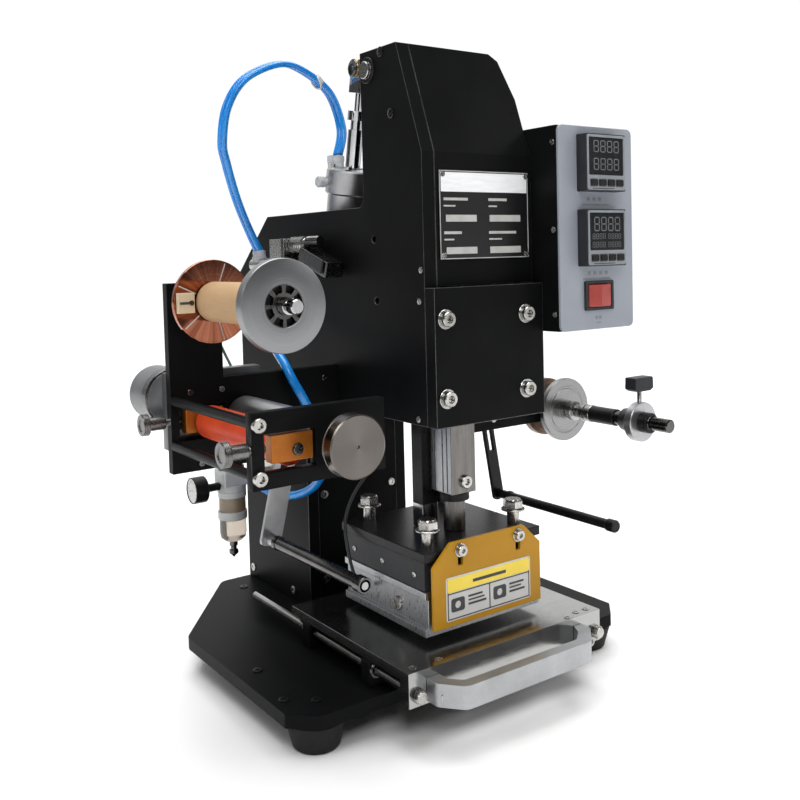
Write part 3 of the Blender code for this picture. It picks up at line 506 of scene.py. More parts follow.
def build_frame():
    """Plates, feet, head screws and name plate."""
    keep("base_plate", BLACK, 1.2, 3)
    for node in ("column_channel", "ram_guide"):
        keep(node, BLACK, 0.6)
    for node in ("side_plate_left", "side_plate_right", "head_cover", "head_front_plate"):
        # The bevels of these plates carry the painted edge highlight
        keep(node, BLACK, 0.45, edge=PAINTED_EDGE_HIGHLIGHT)
    for label, (x, y) in {"front_left": (-149, -136), "front_right": (149, -136), "rear_left": (-80, 130),
                          "rear_right": (80, 130)}.items():
        profile = [(0, 23.2), (23, 23.2), (24, 22.2), (23.6, 20), (18.6, 2), (17, 0.2), (11, 0.2), (10, 3),
                   (5, 3), (5, 8), (0, 8)]
        foot = lathe(f"rubber_foot_{label}", ROOT, profile, (x, y, 0), "+Z", RUBBER)
        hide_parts(f"foot_{label}")
    spots = [(x, -181, z) for x in (-47, 38) for z in (327, 264)]
    socket_screws("head_plate_screws", ROOT, spots, "-Y", 6.2, 5.5)
    washers = bmesh.new()
    for spot in spots:
        add_lathe(washers, [(3, 0.9), (7.6, 0.9), (8, 0.5), (8, 0)], aimed(spot, "-Y"), 32)
    piece("head_plate_washers", ROOT, washers, STEEL)
    side = [(-58, y, z) for y, z in ((150, 46), (62, 45), (150, 200), (62, 200))]
    socket_screws("left_plate_screws", ROOT, side, "-X", 4.2, 0.9)
    side = [(-58, y, z) for y, z in ((-116, 546), (-129, 494))]
    socket_screws("left_plate_dark_screws", ROOT, side, "-X", 4.2, 0.9, DARK_STEEL)
    side = [(58, y, z) for y, z in ((-129, 494), (150, 46), (62, 45), (150, 200), (62, 200), (-60, 300))]
    socket_screws("right_plate_screws", ROOT, side, "+X", 4.2, 0.9)
    side = [(-58, y, z) for y, z in ((-165, 366), (-162, 341), (-157, 246))]
    socket_screws("left_plate_small_screws", ROOT, side, "-X", 2.6, 0.7)
    socket_screws("column_screws", ROOT, [(x, 27, z) for x in (-40, 40) for z in (62, 146)], "-Y", 4, 1.0)
    base = [(x, y, 34.5) for x, y in ((-148, -136), (-168, -120), (148, -136), (80, 130), (-80, 130),
                                      (160, -60), (-160, -60))]
    socket_screws("base_screws", ROOT, base, "+Z", 4.2, 0.8, BLACK_EDGE)
    back = [(x, 160, z) for x in (-36, 36) for z in (60, 200, 345)]
    socket_screws("back_screws", ROOT, back, "+Y", 4.2, 1.0)
    build_name_plate()


def build_name_plate():
    """Name plate with a blank bright band, and plain bars and boxes where lettering would be."""
    front = HEAD_FACE
    flat("name_plate", ROOT, "XZ", rectangle((-42, 53), (374, 445)), front - 1.0, front, PLATE_PRINT,
         bevel=0.25)
    blocks("name_plate_band", ROOT, [((-40.5, 51.5), (front - 1.35, front - 1.0), (428, 443.5))], BAND, 0.1)
    data = bmesh.new()
    for x, z, long in ((-38, 421, 25), (9, 421, 20), (-38, 394, 18), (9, 394, 30), (-38, 416, 12),
                       (9, 416, 9), (-38, 389, 10), (9, 389, 14)):
        add_box(data, (x, x + long), (front - 1.3, front - 1.0), (z, z + (2.2 if z in (421, 394) else 1.3)))
    for x, z, long in ((-36, 404, 32), (10, 404, 34), (-36, 378, 32), (10, 378, 34)):
        add_box(data, (x, x + long), (front - 1.3, front - 1.0), (z, z + 5.5))
    piece("name_plate_print", ROOT, data, PLATE_INK, 0.1)
    flat("name_plate_border", ROOT, "XZ", rectangle((-42, 53), (374, 445)), front - 1.25, front - 0.95,
         PLATE_INK, [rectangle((-41.3, 52.3), (374.7, 444.3))], 0)
    spots = [(x, front - 1, z) for x in (-39, 50) for z in (377, 442)]
    socket_screws("name_plate_rivets", ROOT, spots, "-Y", 2.4, 1.2, STEEL)


# ---------------------------------------------------------------- linkage and stamping head

def cylinder_frame():
    """The air cylinder's own frame: Z along its rod, from its lower pivot."""
    reach = Vector((0, *REAR_PIN)) - CYLINDER_FOOT
    return Matrix.Translation(CYLINDER_FOOT) @ Matrix.Rotation(-math.atan2(reach.y, reach.z), 4, "X")


def build_linkage():
    """Lever, link, ram and the air cylinder with its fittings."""
    keep("lever_arm", STEEL, 0.4)
    keep("link", STEEL, 0.4)
    keep("piston_rod", CHROME, 0.3)
    keep("ram_slide", RAM_STEEL, 0.6)
    bar = block("ram_bar", "ram", (-21.4, 21.4), (-109.9, -95.1), (160, 429.8), BLACK_EDGE)
    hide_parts("ram_back_bar")
    block("ram_bar_post", "ram", (-21.4, -5), (-109.8, -95.2), (139.4, 160.2), CHROME, 0.4)
    lathe("lever_shaft_end", "lever", [(0, 2.4), (6.6, 2.4), (7.3, 1.7), (7.3, 0)], (-60, *LEVER_PIVOT), "-X",
          STEEL)
    lathe("lever_shaft_ring", ROOT, [(7.9, 0), (7.9, 1.6), (10.4, 1.6), (11, 1.0), (11, 0)],
          (-58, *LEVER_PIVOT), "-X", BLACK_EDGE)
    lathe("clevis_pin_cap", "lever", [(0, 1.4), (1.6, 1.4), (2.2, 0.6), (5, 0.6), (6.6, 1.3), (7.6, 0.9),
                                      (8, 0)], (-9, *REAR_PIN), "-X", DARK_STEEL)
    lathe("clevis_pin_ring", "lever", [(8, 0), (8.7, 0), (8.9, -0.3), (8.9, -1.8), (8.7, -2.1), (8, -2.1)],
          (-9, *REAR_PIN), "-X", BRASS)
    turn = cylinder_frame()
    profile = [(8.2, 165.5), (11, 165.5), (11, 167.5), (20, 167.5), (24.5, 166), (25.5, 164.5), (25.5, 143.5),
               (24.5, 142), (22.6, 142), (22.6, 30), (24.5, 30), (25.5, 28.5), (25.5, 9.5), (24.5, 8), (0, 8)]
    barrel = lathe("cylinder_barrel", "cylinder", profile, (0, 0, 0), turn, ALUMINIUM, 64)
    data = bmesh.new()
    add_box(data, (-9, 9), (46, 62), (290, 312))
    add_lathe(data, [(0, 45.4), (6, 45.4), (6, -45.4), (0, -45.4)], aimed(CYLINDER_FOOT, "+X"), 28)
    piece("cylinder_trunnion", "cylinder", data, STEEL, 0.4)
    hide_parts("air_cylinder")
    data = bmesh.new()
    for angle in (45, 135, 225, 315):
        x = 19.5 * math.cos(math.radians(angle))
        y = 19.5 * math.sin(math.radians(angle))
        add_lathe(data, [(0, 170.2), (3, 170.2), (3.5, 169.6), (3.5, 167.3), (0, 167.3)],
                  turn @ Matrix.Translation((x, y, 0)), 6)
    piece("cylinder_cap_nuts", "cylinder", data, ZINC)
    data = bmesh.new()
    add_lathe(data, [(0, 478), (3.4, 478), (5.8, 477), (5.8, 472), (5.2, 471.5), (5.2, 463), (0, 463)],
              Matrix.Translation((-8.6, 33, 0)), 32)
    add_lathe(data, [(0, 479), (3.4, 479), (5.4, 478), (5.4, 472), (4.9, 471.5), (4.9, 463), (0, 463)],
              Matrix.Translation((-9, 44, 0)), 32)
    piece("tube_fittings", "cylinder", data, FROST)
    data = bmesh.new()
    place = aimed((-23, 29, 451), "-X")
    add_lathe(data, [(0, 13), (4.6, 13), (5.4, 12), (5.4, 6), (3.2, 5.4), (3.2, 2), (6, 1.8), (6, -3)], place,
              24)
    piece("flow_control", "cylinder", data, FROST)


def build_head():
    """Mounting plate with its bolts, insulation, heater and guard with a plain label."""
    keep("mounting_plate", BLACK_EDGE, 0.7)
    keep("insulation_block", PLASTIC, 0.7)
    keep("heater_block", HEATER, 0.6)
    keep("guard_plate", GUARD, 0.6, 3)
    data = bmesh.new()
    for x, y in ((-40, -53), (-46, -149), (50, -147), (45, -53)):
        place = Matrix.Translation((x, y, 139))
        add_lathe(data, [(5.4, 0), (5.4, 12.4), (10.2, 12.4), (10.4, 12.7), (10.4, 13.6), (10, 14)], place,
                  40)
        hex_bolt(data, (x, y, 152.4), "+Z", 15.5, 8)
    piece("mounting_bolts", "ram", data, ZINC, sharp=30)
    block("ram_rail", "ram", (-13.15, -12.9), (-140, -113), (174, 300), HEATER, 0.05)
    # Dark strips where the rail has grooves: painted shade in the grooves
    data = bmesh.new()
    for y in (-135, -129, -118):
        add_box(data, (-13.25, -13.1), (y - 0.7, y + 0.7), (174.4, 299.6))
    piece("ram_groove_shade", "ram", data, INK)
    lathe("ram_collar", "ram", [(9.8, 172.6), (13, 172.6), (13.4, 172), (13.4, 166.6), (13, 166), (9.8, 166)],
          (0, -127, 0), "+Z", BLACK_EDGE)
    socket_screws("ram_screw", "ram", [(1.5, -141, 183)], "-Y", 5.6, 3.2)
    socket_screws("heater_screw", "ram", [(-59, -123, 86.5)], "-X", 6, 2.4)
    socket_screws("heater_screw_right", "ram", [(59, -123, 86.5)], "+X", 6, 2.4)
    data = bmesh.new()
    for x in (-30, 33):
        place = aimed((x, -171.6, 137.5), "-Y")
        add_lathe(data, [(0, 1), (5.4, 1), (5.8, 0.7), (5.8, 0)], place, 32)
        add_lathe(data, [(0, 2.6), (1.8, 2.6), (2, 4.2), (4.2, 4.2), (4.6, 3.8), (4.6, 0.8)], place, 32)
    piece("guard_screws", "ram", data, ZINC, sharp=30)
    side = [(-61, y, 118) for y in (-60, -104, -150)]
    socket_screws("insulation_screws", "ram", side, "-X", 2.4, 0.9)
    face = GUARD_FACE
    flat("guard_label", "guard", "XZ", rounded(rectangle((-46, 46), (81, 117)), 2), face - 0.5, face - 0.05,
         WHITE, bevel=0.1)
    flat("label_header", "guard", "XZ", rounded(rectangle((-44.6, 44.6), (104.6, 115.6)), 1.2), face - 0.75,
         face - 0.45, YELLOW, bevel=0)
    data = bmesh.new()
    add_box(data, (-44.6, 44.6), (face - 0.72, face - 0.45), (103, 103.9))
    add_box(data, (-0.5, 0.5), (face - 0.72, face - 0.45), (82.5, 103.5))
    for x in (-44.6, 43.7):
        add_box(data, (x, x + 0.9), (face - 0.72, face - 0.45), (82.5, 115.5))
    add_box(data, (-44.6, 44.6), (face - 0.72, face - 0.45), (82.2, 83.1))
    for x, z, long, tall in ((-18, 108.4, 36, 2.6), (-23, 97, 15, 1.5), (-23, 94, 17, 1.2),
                             (-23, 90.5, 19, 1.6), (22, 97, 16, 1.5), (22, 94, 13, 1.2), (22, 90.5, 17, 1.6)):
        add_box(data, (x, x + long), (face - 0.85, face - 0.5), (z, z + tall))
    for x in (-34, 11):
        add_flat(data, "XZ", rounded(rectangle((x - 7, x + 7), (88, 99)), 2), face - 0.8, face - 0.5,
                 [circle(x, 93.5, 3, 20)])
    piece("label_print", "guard", data, INK)
    tube("heater_cable", "ram", [(-62.4, -84, 92), (-70, -84, 93), (-76, -82, 103), (-74, -70, 120),
                                 (-64, -50, 141), (-46, -37, 160), (-24, -30, 176)], 1.5, PLASTIC)


# ---------------------------------------------------------------- sliding table

def build_table():
    """Sliding table with its rods, cast handle and screws."""
    keep("sliding_table", TABLE_STEEL, 0.8, 3)
    keep("table_handle", CAST, 2.2, 4)
    keep("table_cradle", BLACK, 0.8)
    small = [(x, y, 64) for x, y in ((-69, -190), (68, -194), (82, -190), (-94, -190), (94, -190))]
    socket_screws("table_top_screws", "table", small, "+Z", 3.2, 0.5)
    data = bmesh.new()
    for x in (-95, 98):
        hex_bolt(data, (x, -198, 45.5), "-Y", 10, 5)
    piece("rail_bolts", "table", data, ZINC, sharp=30)
    socket_screws("handle_screws", "table", [(-81, -211.5, 47), (76, -211, 47)], "-Y", 4.2, 3)
    bushes = bmesh.new()
    for x in (-98, 98):
        for y, aim in ((-146, "-Y"), (-39, "+Y")):
            place = aimed((x, y, 48), aim)
            add_lathe(bushes, [(4.6, 1.6), (6.2, 1.6), (6.8, 1.0), (6.8, -0.5)], place, 32)
    piece("rail_bushes", ROOT, bushes, DARK_STEEL)
    socket_screws("cradle_screws", ROOT, [(x, y, 55.4) for x in (-87, 87) for y in (-140, -45)], "+Z",
                  3.4, 1.0, BLACK_EDGE)


# ---------------------------------------------------------------- foil feed and reels

def build_feed():
    """Feed plates, rollers, nip block, tension screws and motor."""
    keep("feed_front_frame", BLACK, 0.5)
    keep("feed_back_plate", BLACK, 0.6)
    keep("nip_block", GOLD, 0.5)
    keep("feed_motor", MOTOR, 0.8)
    for node in ("feed_front_frame", "feed_motor"):
        NODES[node].data.shade_smooth()
    centre = at(*STEEL_ROLLER)
    face = rings("turned_knob_face", (0.105, 0.095, 0.087), (0.175, 0.16, 0.147), centre, "Y", 2600.0,
                 (0.2, 0.3), fan=0.85)
    profile = [(0, 212.8), (0.8, 212.8), (1.2, 213.7), (21.9, 214), (22.9, 213.2), (23, 205), (22.4, 204.6),
               (22.4, 203.8), (23, 203.4), (23, 202), (22, 201.2), (0, 201.2)]
    knob = lathe("roller_hand_knob", "steel_roller", profile, STEEL_ROLLER, "-Y", face, 96)
    profile = [(0, 201.4), (4.5, 201.4), (4.5, 173), (16.4, 172.6), (16.9, 172), (16.9, 37), (16.4, 36.4),
               (4.5, 36), (4.5, 26), (0, 26)]
    roll = lathe("knurled_steel_roller", "steel_roller", profile, STEEL_ROLLER, "-Y", ALUMINIUM, 64)
    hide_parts("steel_roller")
    profile = [(0, 183), (3.4, 183), (4, 182.4), (4, 173), (13.2, 172.6), (13.8, 172), (13.8, 37),
               (13.2, 36.4), (4, 36), (4, 26), (0, 26)]
    soft = lathe("silicone_sleeve", "silicone_roller", profile, SILICONE_ROLLER, "-Y", SILICONE, 56)
    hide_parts("silicone_roller")
    socket_screws("silicone_journal", "silicone_roller", [(-183.5, -183, 244)], "-Y", 4.1, 1.7, DARK_STEEL)
    flat("nip_block_rear", "nip", "XZ", rectangle((-204.5, -171.5), (236.2, 255.8)), -34.4, -24.7, GOLD,
         [circle(-183.5, 244, 4.3, 28)], 0.5)
    for label, y in (("front", -179.5), ("rear", -29.5)):
        profile = [(0, 240.2), (5, 240.2), (5.6, 241), (8.3, 241), (8.9, 240.4)]
        profile += ribs(8.9, 8.55, 240.2, 0.6, 1.2, 4)
        profile += [(8.9, 235.6), (8.3, 235.2), (5.5, 234.6), (5.5, 222), (5, 221.2), (3, 221)]
        profile += ribs(3.0, 2.6, 220.6, 0.6, 1.3, 10) + [(3.0, 208), (0, 208)]
        knob = lathe(f"tension_knob_{label}", f"tension_{label}", profile, (0, y, 247), "-X", SATIN, 48)
        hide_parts(f"tension_screw_{label}")
    spots = [(-214.5, -184, 264.5), (-214.5, -184, 227.5)]
    socket_screws("tie_rod_screws", ROOT, spots, "-Y", 5.2, 3.6)
    socket_screws("back_plate_screws", ROOT, [(-200, -34, 270), (-172, -34, 270), (-192, -34, 210),
                                              (-72, -34, 270), (-72, -34, 214)], "-Y", 2.6, 1.2,
                  DARK_STEEL)
    lathe("motor_band", ROOT, [(23.6, -12.9), (24.6, -12.7), (25.2, -12), (25.2, -3), (24.6, -2.2),
                               (23.6, -2)], MOTOR_CAN, "+Y", DARK_STEEL)
    lathe("motor_end", ROOT, [(0, 31.2), (20, 31.2), (23, 30.4), (23.8, 29), (23.8, -12)], MOTOR_CAN, "+Y",
          MOTOR)
    socket_screws("motor_screws", ROOT, [(-205 + 17 * math.cos(a), 31.2, 264 + 17 * math.sin(a))
                                         for a in (0.8, 2.37, 3.94, 5.5)], "+Y", 2.2, 0.9)
    tube("motor_lead", ROOT, [(-205, 31, 258), (-205, 36, 252), (-196, 36, 236), (-170, 20, 222),
                              (-140, 2, 216), (-104, -6, 214), (-72, -12, 222), (-57.5, -14, 236)], 1.8, INK)


def build_unwind():
    """Unwind reel: slotted front flange, copper rear flange, kraft core and hub."""
    x, z = UNWIND
    turned = on_axis("unwind_reel", (x, 0, z), "-Y")
    centre = at(x, 0, z)
    spun = rings("spun_aluminium", (0.20, 0.205, 0.21), (0.30, 0.305, 0.31), centre, "Y", 1600.0, (0.3, 0.42))
    # Copper for the rear flange: its own copper colour, with radial streaks that are painted highlights
    copper = rings("copper_painted_rays", (0.13, 0.035, 0.02), (0.50, 0.19, 0.11), centre, "Y", 500.0, (0.07, 0.14),
                   True)
    slots = []
    for i in range(8):
        middle = 2 * math.pi * (i + 0.5) / 8
        spread = (-0.27, -0.14, 0, 0.14, 0.27)
        slots.append([(x + 14.6 * math.cos(middle + s), z + 14.6 * math.sin(middle + s)) for s in spread]
                     + [(x + 9.4 * math.cos(middle - s), z + 9.4 * math.sin(middle - s)) for s in spread])
    disc = flat("front_flange_spider", "unwind_reel", "XZ", circle(x, z, 16, 72), -182.0, -177.0, DARK_STEEL,
                [circle(x, z, 6.2, 40), *slots], 0.25)
    ring = [(15.2, 173.7), (15.2, 182), (15.6, 182.4), (32.6, 182.5), (33.1, 182.3), (REEL_RADIUS, 181.7),
            (REEL_RADIUS, 174.4), (33, 173.7), (15.2, 173.7)]
    turned("front_flange_rim", ring, spun, 96)
    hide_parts("unwind_flange")
    # A dark disc just behind the spider: painted shade seen through its slots
    slot_shade_disc = [(6.2, 175.4), (15.4, 175.4), (15.4, 174), (6.2, 174), (6.2, 175.4)]
    turned("front_flange_backing", slot_shade_disc, INK, 64)
    profile = [(0, 201), (4.4, 201), (5.2, 200.2), (5.2, 193), (4.4, 192.6), (4.4, 190), (6, 189.6), (6, 64)]
    shaft = turned("reel_shaft", profile, CHROME)
    turned("reel_shaft_tail", [(6, 60), (9, 59), (9, 38), (6, 37), (6, 26), (0, 26)], STEEL)
    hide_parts("unwind_spindle")
    profile = [(6, 64), (32.2, 64), (32.4, 63.4), (32.4, 60.6), (32.2, 60), (6, 60)]
    turned("rear_flange", profile, copper, 96)
    ring = [(32.3, 64.2), (33.2, 64.2), (REEL_RADIUS, 63.8), (REEL_RADIUS, 60.2), (33.2, 59.8), (32.3, 59.8),
            (32.3, 64.2)]
    turned("rear_flange_rim", ring, copper, 96)
    wall = [(12.9, 173.2), (15.6, 173.2), (16, 172.8), (16, 67), (15.6, 66.2), (12.9, 66.2), (12.9, 173.2)]
    core = turned("kraft_core", wall, KRAFT, 72)
    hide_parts("foil_core")
    data = bmesh.new()
    for i in range(3):
        turn = Matrix.Translation((x, 0, z)) @ Matrix.Rotation(math.radians(30 + 120 * i), 4, "Y")
        add_box(data, (6, 15), (-66, -64.2), (-4, 4), turn)
        add_box(data, (6.4, 12.7), (-173, -158), (-2, 2), turn)
    piece("core_clamp_jaws", "unwind_reel", data, BEIGE, 0.6)
    block("reel_key_block", "unwind_reel", (x - 31.5, x - 17.5), (-68.4, -64.2), (z - 8, z + 8), BEIGE)
    # A dark strip for the key block's slot: painted shade in the slot
    block("reel_key_slot_shade", "unwind_reel", (x - 30, x - 22), (-68.6, -68.3), (z - 1, z + 1), INK, 0.1)
    socket_screws("reel_key_screw", "unwind_reel", [(x - 20.4, -68.4, z)], "-Y", 2, 0.6, DARK_STEEL)
    # Thin pale radial strips on the copper face: painted glints
    data = bmesh.new()
    for angle in (20, 75, 140, 205, 290):
        turn = Matrix.Translation((x, 0, z)) @ Matrix.Rotation(math.radians(angle), 4, "Y")
        add_box(data, (16.5, 31.8), (-64.25, -64.05), (-0.4, 0.4), turn)
    piece("copper_painted_glints", "unwind_reel", data, PALE)
    flat("hub_lock", "unwind_reel", "XZ", rounded(rectangle((x - 10, x + 10), (z - 10, z + 10)), 3), -46, -38,
         BEIGE, [circle(x, z, 6.1, 32)], 0.6)
    lathe("tower_bush", ROOT, [(6.5, 36), (10, 36), (10.6, 35.4), (10.6, 34.2), (6.5, 34.2)], (x, 0, z), "-Y",
          BRASS, 40)


def build_rewind():
    """Rewind reel with its grooved disc, clutch disc, sleeve, collar and wing screw."""
    x, z = REWIND
    turned = on_axis("rewind_reel", (x, 0, z), "-Y")
    on_collar = on_axis("collar", (x, 0, z), "-Y")
    centre = at(x, 0, z)
    spun = rings("rewind_disc_face", (0.22, 0.22, 0.22), (0.36, 0.36, 0.36), centre, "Y", 1500.0,
                 (0.22, 0.34))
    clutch = rings("clutch_face", (0.06, 0.04, 0.03), (0.24, 0.16, 0.12), centre, "Y", 700.0, (0.2, 0.4))
    profile = [(9, 45), (22, 45), (22.6, 44.4), (24.4, 44.4), (25, 45), (32.9, 45), (REEL_RADIUS, 44.4),
               (REEL_RADIUS, 39.6), (33, 39), (9, 39)]
    disc = turned("rewind_disc", profile, spun, 96)
    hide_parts("rewind_shaft")
    turned("clutch_disc", [(6, 17), (30.4, 17), (31, 16.4), (31, 8.6), (30.4, 8), (6, 8)], clutch, 96)
    profile = [(0, 183), (5.4, 183), (6.6, 182), (6.6, 160.4), (6.9, 160), (6.9, 115.4)]
    turned("rewind_shaft_front", profile, DARK_STEEL)
    turned("rewind_sleeve", [(6.5, 116), (7.9, 116), (8.5, 115.4), (8.5, 84.6), (7.9, 84), (6.5, 84)],
           BLACK_EDGE)
    profile = [(6, 84), (8.6, 84), (9, 83.5), (9, 77), (7, 76.5), (7, 75.5), (9, 75), (9, 71.5), (5, 71),
               (5, 68), (6.4, 67.5), (6.4, 60), (9.4, 59.5), (10, 59), (10, 52.5), (8, 52), (8, 50.5),
               (10, 50), (10, 45)]
    turned("rewind_stepped_hub", profile, STEEL)
    turned("rewind_shaft_rear", [(12, 39), (12, 34), (7, 33.4), (7, 17), (10, 8), (10, 2.4), (9.6, 2),
                                 (0, 2)], STEEL)
    keep("rewind_bracket", BLACK, 0.5)
    profile = [(7.3, 160), (9.4, 160), (10, 159.4), (10, 150), (7.3, 150)]
    on_collar("collar_nose", profile, BLACK_EDGE)
    on_collar("collar_hub", [(7.3, 126), (10.5, 126), (11, 126.5), (12.6, 134), (16.6, 140.8), (7.3, 140.8)],
              BLACK_EDGE)
    profile = [(7.3, 150), (18.9, 150), (19.5, 149.4), (19.5, 141.6), (18.9, 141), (7.3, 141), (7.3, 150)]
    collar = on_collar("collar_flange", profile, ALUMINIUM, 64)
    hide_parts("rewind_collar")
    outline = [(x - 13.5, 241), (x - 9, 238.6), (x + 9, 238.6), (x + 13.5, 241), (x + 12.8, 252.4),
               (x - 12.8, 252.4)]
    wing = flat("wing_block", "wing_screw_body", "XZ", outline, -152, -138, PLASTIC, bevel=1.2)
    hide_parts("wing_screw")
    profile = [(0, 239), *ribs(2.5, 2.15, 238.8, 0.65, 1.3, 14), (2.5, 217), (0, 217)]
    lathe("wing_stem", "wing_screw_body", profile, (x, -145, 0), "+Z", ZINC, 28)


def build_guides():
    """Foil guide rods on slotted arms."""
    keep("left_guide_arm", ALUMINIUM, 0.4)
    keep("right_guide_arm", BLACK_EDGE, 0.4)
    sleeves = (("left", "left_guide", (-126.5, 131), 177, 5.3, DARK_STEEL),
               ("right", "right_guide", (143, 126), 183, 4.6, BLACK_EDGE))
    for label, body, (x, z), front, radius, finish in sleeves:
        profile = [(0, front - 2), (2.6, front - 2), (3, front), (radius + 0.6, front),
                   (radius + 1.2, front - 1), (radius + 1.2, front - 9), (radius + 0.6, front - 10),
                   (radius, front - 10.4), (radius, 42), (radius + 0.9, 41.5), (radius + 0.9, 37.6),
                   (radius, 37.2)]
        lathe(f"{label}_guide_sleeve", body, profile, (x, 0, z), "-Y", finish, 40)
    socket_screws("left_arm_screw", ROOT, [(-105, -20.6, 212)], "+Y", 4.2, 3.2)
    socket_screws("right_arm_screw", ROOT, [(129, -31, 208)], "-Y", 4.2, 2.6)


# ---------------------------------------------------------------- controls

SEGMENTS = {"a": ((0.15, 0.85), (0.92, 1.0)), "b": ((0.86, 1.0), (0.54, 0.94)),
            "c": ((0.86, 1.0), (0.06, 0.46)), "d": ((0.15, 0.85), (0.0, 0.08)),
            "e": ((0.0, 0.14), (0.06, 0.46)), "f": ((0.0, 0.14), (0.54, 0.94)),
            "g": ((0.15, 0.85), (0.46, 0.54))}


def digits(data, x, z, wide, tall, count, pitch, y):
    """A row of unlit seven-segment figures."""
    for k in range(count):
        left = x + k * pitch
        for across, up in SEGMENTS.values():
            add_box(data, (left + across[0] * wide, left + across[1] * wide), (y - 0.12, y),
                    (z + up[0] * tall, z + up[1] * tall))


def build_controls():
    """Control box, panel, controllers with windows, figures and keys, and the rocker switch."""
    keep("electric_box", BLACK, 1.0)
    keep("control_panel", PANEL, 0.8, 3)
    for label, (x, z) in {"upper": (103.2, 451.7), "lower": (103.2, 388.7)}.items():
        keep(f"controller_{label}", PLASTIC, 0.9, 3)
        face = CONTROLLER_FACE
        outer = rounded(rectangle((x - 23, x + 23), (z - 23, z + 23)), 2)
        inner = rounded(rectangle((x - 21, x + 21), (z - 10.6, z + 21)), 1)
        flat(f"controller_bezel_{label}", ROOT, "XZ", outer, face - 0.8, face, BEZEL, [inner], 0.25)
        flat(f"display_glass_{label}", ROOT, "XZ", rectangle((x - 20.9, x + 20.9), (z - 10.5, z + 20.9)),
             face - 0.25, face + 0.01, GLASS, bevel=0.1)
        data = bmesh.new()
        if label == "upper":
            digits(data, x - 15, z + 8.4, 6.2, 10, 4, 8.2, face - 0.25)
            digits(data, x - 15, z - 6.4, 6.2, 10, 4, 8.2, face - 0.25)
        else:
            digits(data, x - 15.4, z + 5.4, 6.4, 12, 4, 8.4, face - 0.25)
            for row in (-1.2, -8.2):
                digits(data, x - 17.6, z + row, 3, 4.6, 4, 4.2, face - 0.25)
                digits(data, x + 1.4, z + row, 3, 4.6, 4, 4.2, face - 0.25)
        piece(f"display_figures_{label}", ROOT, data, SEGMENT)
        data = bmesh.new()
        for i in range(4):
            add_box(data, (x - 20 + 10.4 * i, x - 11.2 + 10.4 * i), (face - 1.0, face - 0.75),
                    (z - 20.2, z - 13.8))
        add_box(data, (x - 17, x + 9), (face - 0.95, face - 0.75), (z - 22.2, z - 21.4))
        piece(f"key_surrounds_{label}", ROOT, data, INK, 0.1)
        for i in range(4):
            keep(f"key_{label}_{i + 1}", RUBBER, 0.3)
        data = bmesh.new()
        for k in range(3 if label == "upper" else 4):
            add_box(data, (x - 12 + 7 * k, x - 8.6 + 7 * k), (PANEL_FACE - 0.15, PANEL_FACE),
                    (z - 31.4, z - 28.4))
        add_box(data, (x - 18, x + 15), (PANEL_FACE - 0.12, PANEL_FACE), (z - 35.4, z - 34))
        piece(f"panel_print_{label}", ROOT, data, GREY_INK)
    x, z = 103.4, 339.5
    keep("power_rocker", RED, 0.6, 3)
    flat("rocker_bezel", ROOT, "XZ", rounded(rectangle((x - 17.3, x + 17.3), (z - 12.6, z + 12.6)), 1.4),
         PANEL_FACE - 2.4, PANEL_FACE, PLASTIC, [rectangle((x - 14.2, x + 14.2), (z - 9.9, z + 9.9))], 0.5)
    blocks("rocker_print", ROOT, [((x - 3.6, x - 0.8), (PANEL_FACE - 0.15, PANEL_FACE), (z - 20.4, z - 17.6)),
                                  ((x + 1, x + 3.8), (PANEL_FACE - 0.15, PANEL_FACE), (z - 20.4, z - 17.6)),
                                  ((x - 2.6, x + 3), (PANEL_FACE - 0.12, PANEL_FACE), (z - 24, z - 22.8))],
           GREY_INK)
    socket_screws("box_side_screws", ROOT, [(58.4, -195, zz) for zz in (469, 396, 325)], "-X", 2.6, 0.9)
    socket_screws("box_right_screws", ROOT, [(148, -195, zz) for zz in (469, 396, 325)], "+X", 2.6, 0.7)
    data = bmesh.new()
    for k in range(8):
        add_box(data, (78 + 7 * k, 82 + 7 * k), (-100.2, -99.4), (340, 380))
    piece("box_back_louvres", ROOT, data, BLACK_EDGE, 0.3)


# ---------------------------------------------------------------- air

